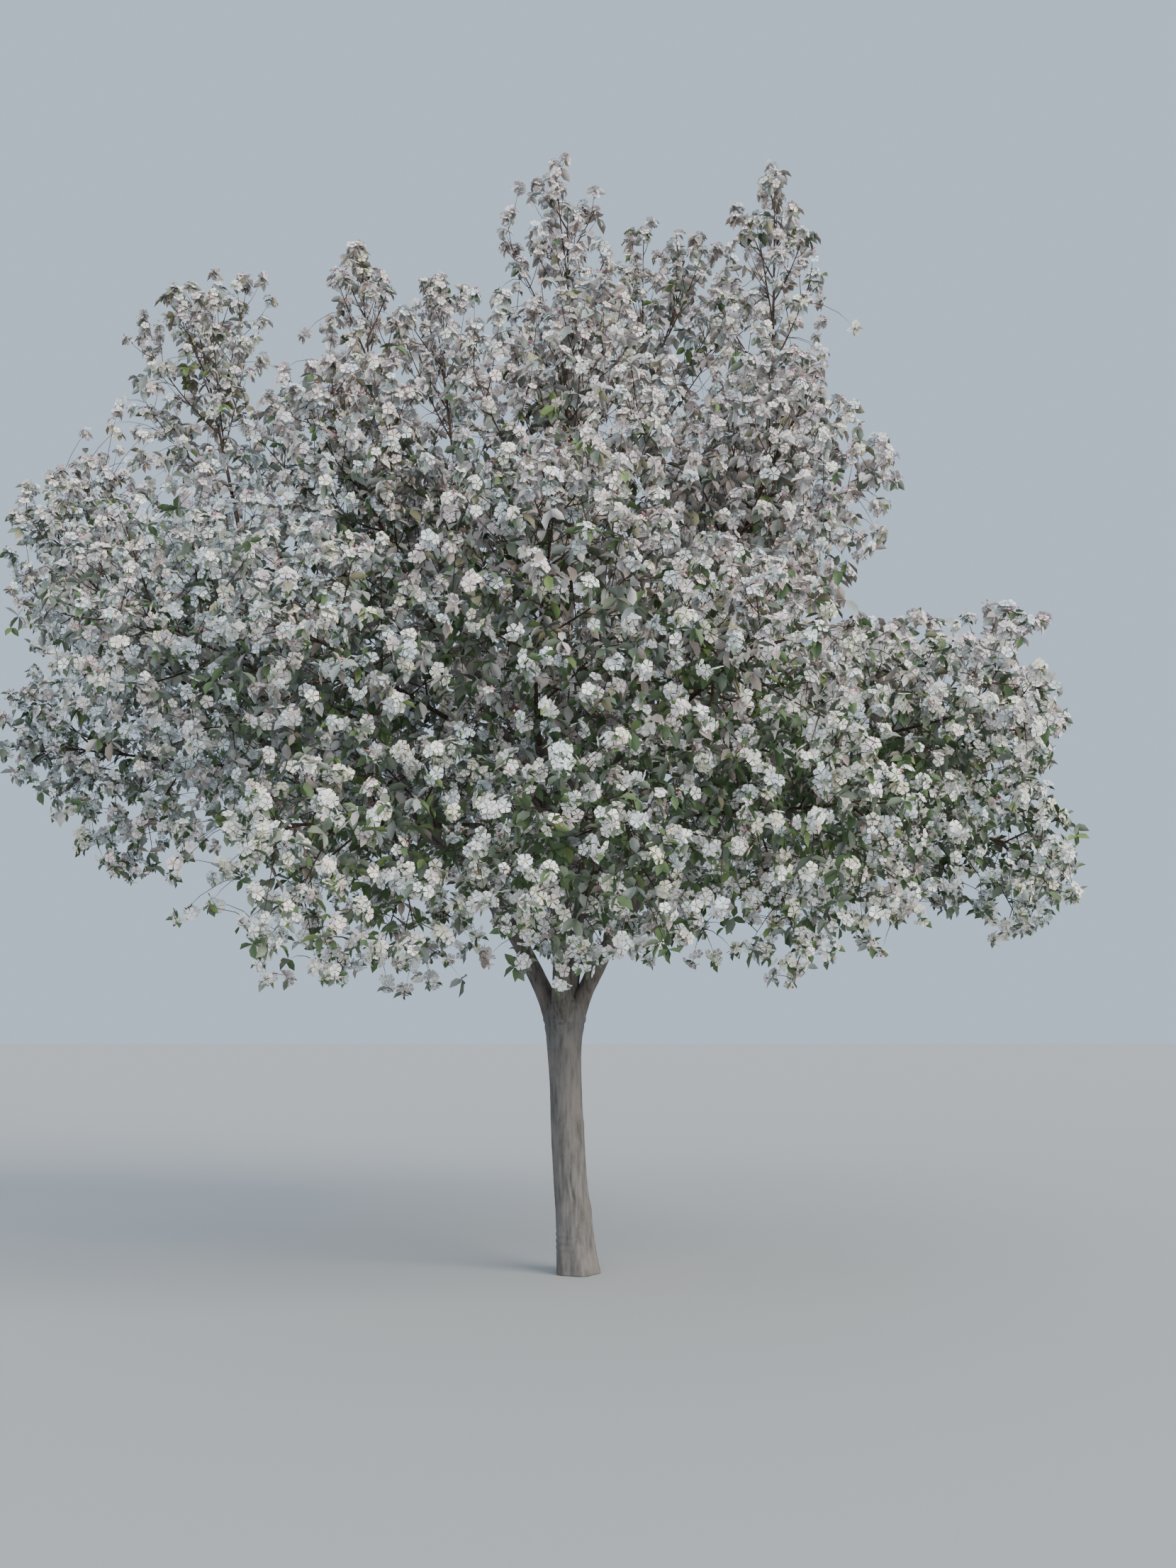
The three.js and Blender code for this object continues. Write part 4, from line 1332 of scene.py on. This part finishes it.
def soft_material(name, colour, roughness, sheen, scale):
    """A petal's or leaf's finish: one base colour, a little lighter and darker from flower to flower."""
    material, nodes, links, shader = node_material(name)
    place_node = nodes.new("ShaderNodeTexCoord")
    noise = nodes.new("ShaderNodeTexNoise")
    set_inputs(noise, {"Scale": scale, "Detail": 1.0})
    ramp = nodes.new("ShaderNodeValToRGB")
    darker, lighter = ramp.color_ramp.elements
    darker.position, lighter.position = 0.32, 0.68
    darker.color = (*[c * 0.80 for c in colour], 1)
    lighter.color = (*[min(c * 1.12, 0.9) for c in colour], 1)
    links.new(place_node.outputs["Object"], noise.inputs["Vector"])
    links.new(noise.outputs["Fac"], ramp.inputs["Fac"])
    links.new(ramp.outputs["Color"], shader.inputs["Base Color"])
    set_inputs(shader, {"Roughness": roughness, "Sheen Weight": sheen, "Specular IOR Level": 0.3})
    return material


def bark_material(name, dark, light, pink, scale):
    """Grey-brown bark: tall streaks, pinkish lights, dark cracks and pale spots, with a fine bump."""
    material, nodes, links, shader = node_material(name)
    place_node = nodes.new("ShaderNodeTexCoord")

    def noise_of(stretch, size, detail):
        mapping = nodes.new("ShaderNodeMapping")
        set_inputs(mapping, {"Scale": (1.0, 1.0, stretch)})
        noise = nodes.new("ShaderNodeTexNoise")
        set_inputs(noise, {"Scale": size * scale, "Detail": detail})
        links.new(place_node.outputs["Object"], mapping.inputs["Vector"])
        links.new(mapping.outputs["Vector"], noise.inputs["Vector"])
        return noise.outputs["Fac"]

    def mixed(factor, low, high, first, second):
        ramp = nodes.new("ShaderNodeMapRange")
        set_inputs(ramp, {"From Min": low, "From Max": high})
        links.new(factor, ramp.inputs["Value"])
        mix = nodes.new("ShaderNodeMix")
        mix.data_type = "RGBA"
        links.new(ramp.outputs["Result"], mix.inputs["Factor"])
        for socket, value in (("A", first), ("B", second)):
            target = [s for s in mix.inputs if s.name == socket and s.type == "RGBA"][0]
            if isinstance(value, tuple):
                target.default_value = (*value, 1)
            else:
                links.new(value, target)
        return [s for s in mix.outputs if s.type == "RGBA"][0]

    streaks = noise_of(0.16, 42.0, 6.0)
    patches = noise_of(0.6, 9.0, 3.0)
    spots = noise_of(2.6, 95.0, 2.0)
    colour = mixed(streaks, 0.36, 0.62, dark, light)
    colour = mixed(patches, 0.50, 0.72, colour, pink)
    colour = mixed(spots, 0.66, 0.74, colour, tuple(min(c * 1.5, 0.6) for c in light))
    links.new(colour, shader.inputs["Base Color"])
    bump = nodes.new("ShaderNodeBump")
    set_inputs(bump, {"Strength": 0.55, "Distance": 0.004})
    links.new(streaks, bump.inputs["Height"])
    links.new(bump.outputs["Normal"], shader.inputs["Normal"])
    set_inputs(shader, {"Roughness": 0.88, "Specular IOR Level": 0.25})
    return material


@functools.cache
def bark(kind):
    """The bark of the trunk, of the boughs and limbs, or of the young twigs."""
    return bark_material(kind + "_bark", *BARKS[kind])


@functools.cache
def shade_materials(kind):
    """The finishes of the petals, leaves or buds, in the order that they are dealt in."""
    table, *finish = FINISHES[kind]
    return [soft_material(name, shade[0], *finish) for name, shade in table.items()]


class TreeOperator(bpy.types.Operator):
    """Makes a part of the tree"""

    bl_options = {"REGISTER", "UNDO"}


class BLOSSOM_OT_trunk(TreeOperator):
    """Make the trunk's bark, from the flat cut at the ground to its head under the fork"""

    bl_idname = "blossom_tree.trunk"
    bl_label = "Trunk"

    def execute(self, context):
        arrays = trunk_arrays(context.scene.tree_settings.ridge_depth)
        make_piece("trunk_bark", *arrays, [bark("trunk")], slot="trunk_bark", stands_for=["trunk"])
        return {"FINISHED"}


class BLOSSOM_OT_boughs(TreeOperator):
    """Make the bark of the five main boughs"""

    bl_idname = "blossom_tree.boughs"
    bl_label = "Boughs"

    def execute(self, context):
        depth = context.scene.tree_settings.ridge_depth
        for number, name in enumerate(BOUGHS):
            seed = 20 + number * 20
            curve = bough_curve(name)
            arrays = limb_arrays(curve, BOUGH_FOOT_RADIUS, BOUGH_TIP_RADIUS, BOUGH_MESH, seed, depth)
            make_piece(
                name + "_bough_bark", *arrays, [bark("bough")],
                slot="bough_bark", stands_for=["bough_" + name])
        return {"FINISHED"}


class BLOSSOM_OT_limbs(TreeOperator):
    """Make the bark of the limbs, which leave the boughs and carry the masses"""

    bl_idname = "blossom_tree.limbs"
    bl_label = "Limbs"

    def execute(self, context):
        depth = context.scene.tree_settings.ridge_depth
        for bough in BOUGHS:
            carried = [mass for mass in masses() if mass.bough == bough and mass.limb is not None]
            arrays = []
            for mass in carried:
                foot = between(BOUGH_FOOT_RADIUS, BOUGH_TIP_RADIUS, mass.at) * LIMB_SHARE
                seed = 200 + mass.number * 20
                arrays.append(limb_arrays(mass.limb, foot, LIMB_TIP_RADIUS, LIMB_MESH, seed, depth))
            make_piece(
                bough + "_limbs_bark", *stacked(arrays), [bark("bough")],
                slot="limb_bark", stands_for=["limb_" + mass.name for mass in carried])
        return {"FINISHED"}


class BLOSSOM_OT_twigs(TreeOperator):
    """Make the stems, twigs, shoots and spurs of the masses"""

    bl_idname = "blossom_tree.twigs"
    bl_label = "Twigs"

    def execute(self, context):
        tubes = [shoot_tubes(group, TUBE_SIDES.get(level, FINE_SIDES)) for level, group in crown().items()]
        owners = np.concatenate([tube[2] for tube in tubes])
        arrays = (*stacked([tube[:2] for tube in tubes]), owners, owners)
        for bough in BOUGHS:
            make_share(bough, "twigs", arrays, [bark("twig")], slot="limb_bark")
        return {"FINISHED"}


class BLOSSOM_OT_leaves(TreeOperator):
    """Make the leaves that stand round the flower clusters"""

    bl_idname = "blossom_tree.leaves"
    bl_label = "Leaves"

    def execute(self, context):
        for bough in BOUGHS:
            make_share(bough, "leaves", blossom_parts()["leaves"], shade_materials("leaves"))
        return {"FINISHED"}


class BLOSSOM_OT_flowers(TreeOperator):
    """Make the open flowers with their stalks and hearts, and the buds"""

    bl_idname = "blossom_tree.flowers"
    bl_label = "Flowers"

    def execute(self, context):
        heart = soft_material("flower_heart", (0.55, 0.50, 0.16), 0.6, 0.0, 20.0)
        stalk = soft_material("flower_stalk", (0.16, 0.20, 0.08), 0.6, 0.0, 20.0)
        parts = blossom_parts()
        for bough in BOUGHS:
            carried = ["blossom_" + mass.name for mass in masses() if mass.bough == bough]
            make_share(bough, "petals", parts["petals"], shade_materials("petals"), stands_for=carried)
            make_share(bough, "buds", parts["buds"], shade_materials("buds"))
            make_share(bough, "hearts", parts["hearts"], [heart])
            make_share(bough, "pedicels", parts["pedicels"], [stalk])
        return {"FINISHED"}


def soft_sun(name, strength, width, azimuth, height, colour):
    """A wide, soft sun that stands at an azimuth and a height in degrees."""
    data = bpy.data.lights.new(name, "SUN")
    data.energy = strength
    data.angle = math.radians(width)
    data.color = colour
    light = bpy.data.objects.new(name, data)
    light.rotation_euler = (math.radians(90 - height), 0, math.radians(azimuth + 90))
    bpy.context.scene.collection.objects.link(light)


class BLOSSOM_OT_stage(TreeOperator):
    """Make the pale floor, the backdrop, the soft lights and the camera"""

    bl_idname = "blossom_tree.stage"
    bl_label = "Stage"

    def execute(self, context):
        stage = context.scene.stage_settings
        floor_mesh = bpy.data.meshes.new("floor")
        corners = [(x * FLOOR_REACH, y * FLOOR_REACH, 0) for x, y in ((-1, -1), (1, -1), (1, 1), (-1, 1))]
        floor_mesh.from_pydata(corners, [], [(0, 1, 2, 3)])
        floor = bpy.data.objects.new("floor", floor_mesh)
        floor.location = (0, 0, -0.001)
        material, _, _, shader = node_material("floor")
        set_inputs(shader, {"Base Color": (*stage.floor_colour, 1), "Roughness": 0.9})
        floor_mesh.materials.append(material)
        context.scene.collection.objects.link(floor)

        world = bpy.data.worlds.new("backdrop")
        world.use_nodes = True
        sky = world.node_tree.nodes["Background"]
        set_inputs(sky, {"Color": (*stage.sky_colour, 1), "Strength": SKY_STRENGTH})
        context.scene.world = world
        for name, sun in SUNS.items():
            soft_sun(name, *sun)

        data = bpy.data.cameras.new("camera")
        data.sensor_fit = "VERTICAL"
        data.sensor_width = SENSOR
        data.sensor_height = SENSOR
        data.lens = FOCAL_SHARE * SENSOR
        camera = bpy.data.objects.new("camera", data)
        camera.location = (CAMERA_ASIDE, -stage.camera_distance, stage.camera_height)
        camera.rotation_euler = (math.pi / 2 + math.atan(CAMERA_SLOPE), 0, 0)
        context.scene.collection.objects.link(camera)
        context.scene.camera = camera
        return {"FINISHED"}


class BLOSSOM_PT_panel(bpy.types.Panel):
    """Lists the parts of the tree and its stage"""

    bl_label = "Blossom tree"
    bl_space_type = "VIEW_3D"
    bl_region_type = "UI"
    bl_category = "Blossom tree"

    def draw(self, context):
        column = self.layout.column()
        for settings in (context.scene.tree_settings, context.scene.stage_settings):
            for name in settings.bl_rna.properties.keys():
                if name not in ("rna_type", "name"):
                    column.prop(settings, name)
        for operator in OPERATORS:
            column.operator(operator.bl_idname)


OPERATORS = (
    BLOSSOM_OT_stage, BLOSSOM_OT_trunk, BLOSSOM_OT_boughs, BLOSSOM_OT_limbs,
    BLOSSOM_OT_twigs, BLOSSOM_OT_leaves, BLOSSOM_OT_flowers,
)
CLASSES = (TreeSettings, StageSettings, *OPERATORS, BLOSSOM_PT_panel)


def register():
    """Register the classes and hang the settings on the scene."""
    for one in CLASSES:
        bpy.utils.register_class(one)
    bpy.types.Scene.tree_settings = bpy.props.PointerProperty(type=TreeSettings)
    bpy.types.Scene.stage_settings = bpy.props.PointerProperty(type=StageSettings)


def unregister():
    """Take the settings off the scene and unregister the classes."""
    del bpy.types.Scene.stage_settings
    del bpy.types.Scene.tree_settings
    for one in reversed(CLASSES):
        bpy.utils.unregister_class(one)


def main():
    """Make the stage and every part of the tree."""
    register()
    bpy.ops.blossom_tree.stage()
    bpy.ops.blossom_tree.trunk()
    bpy.ops.blossom_tree.boughs()
    bpy.ops.blossom_tree.limbs()
    bpy.ops.blossom_tree.twigs()
    bpy.ops.blossom_tree.leaves()
    bpy.ops.blossom_tree.flowers()


if __name__ == "__main__":
    main()
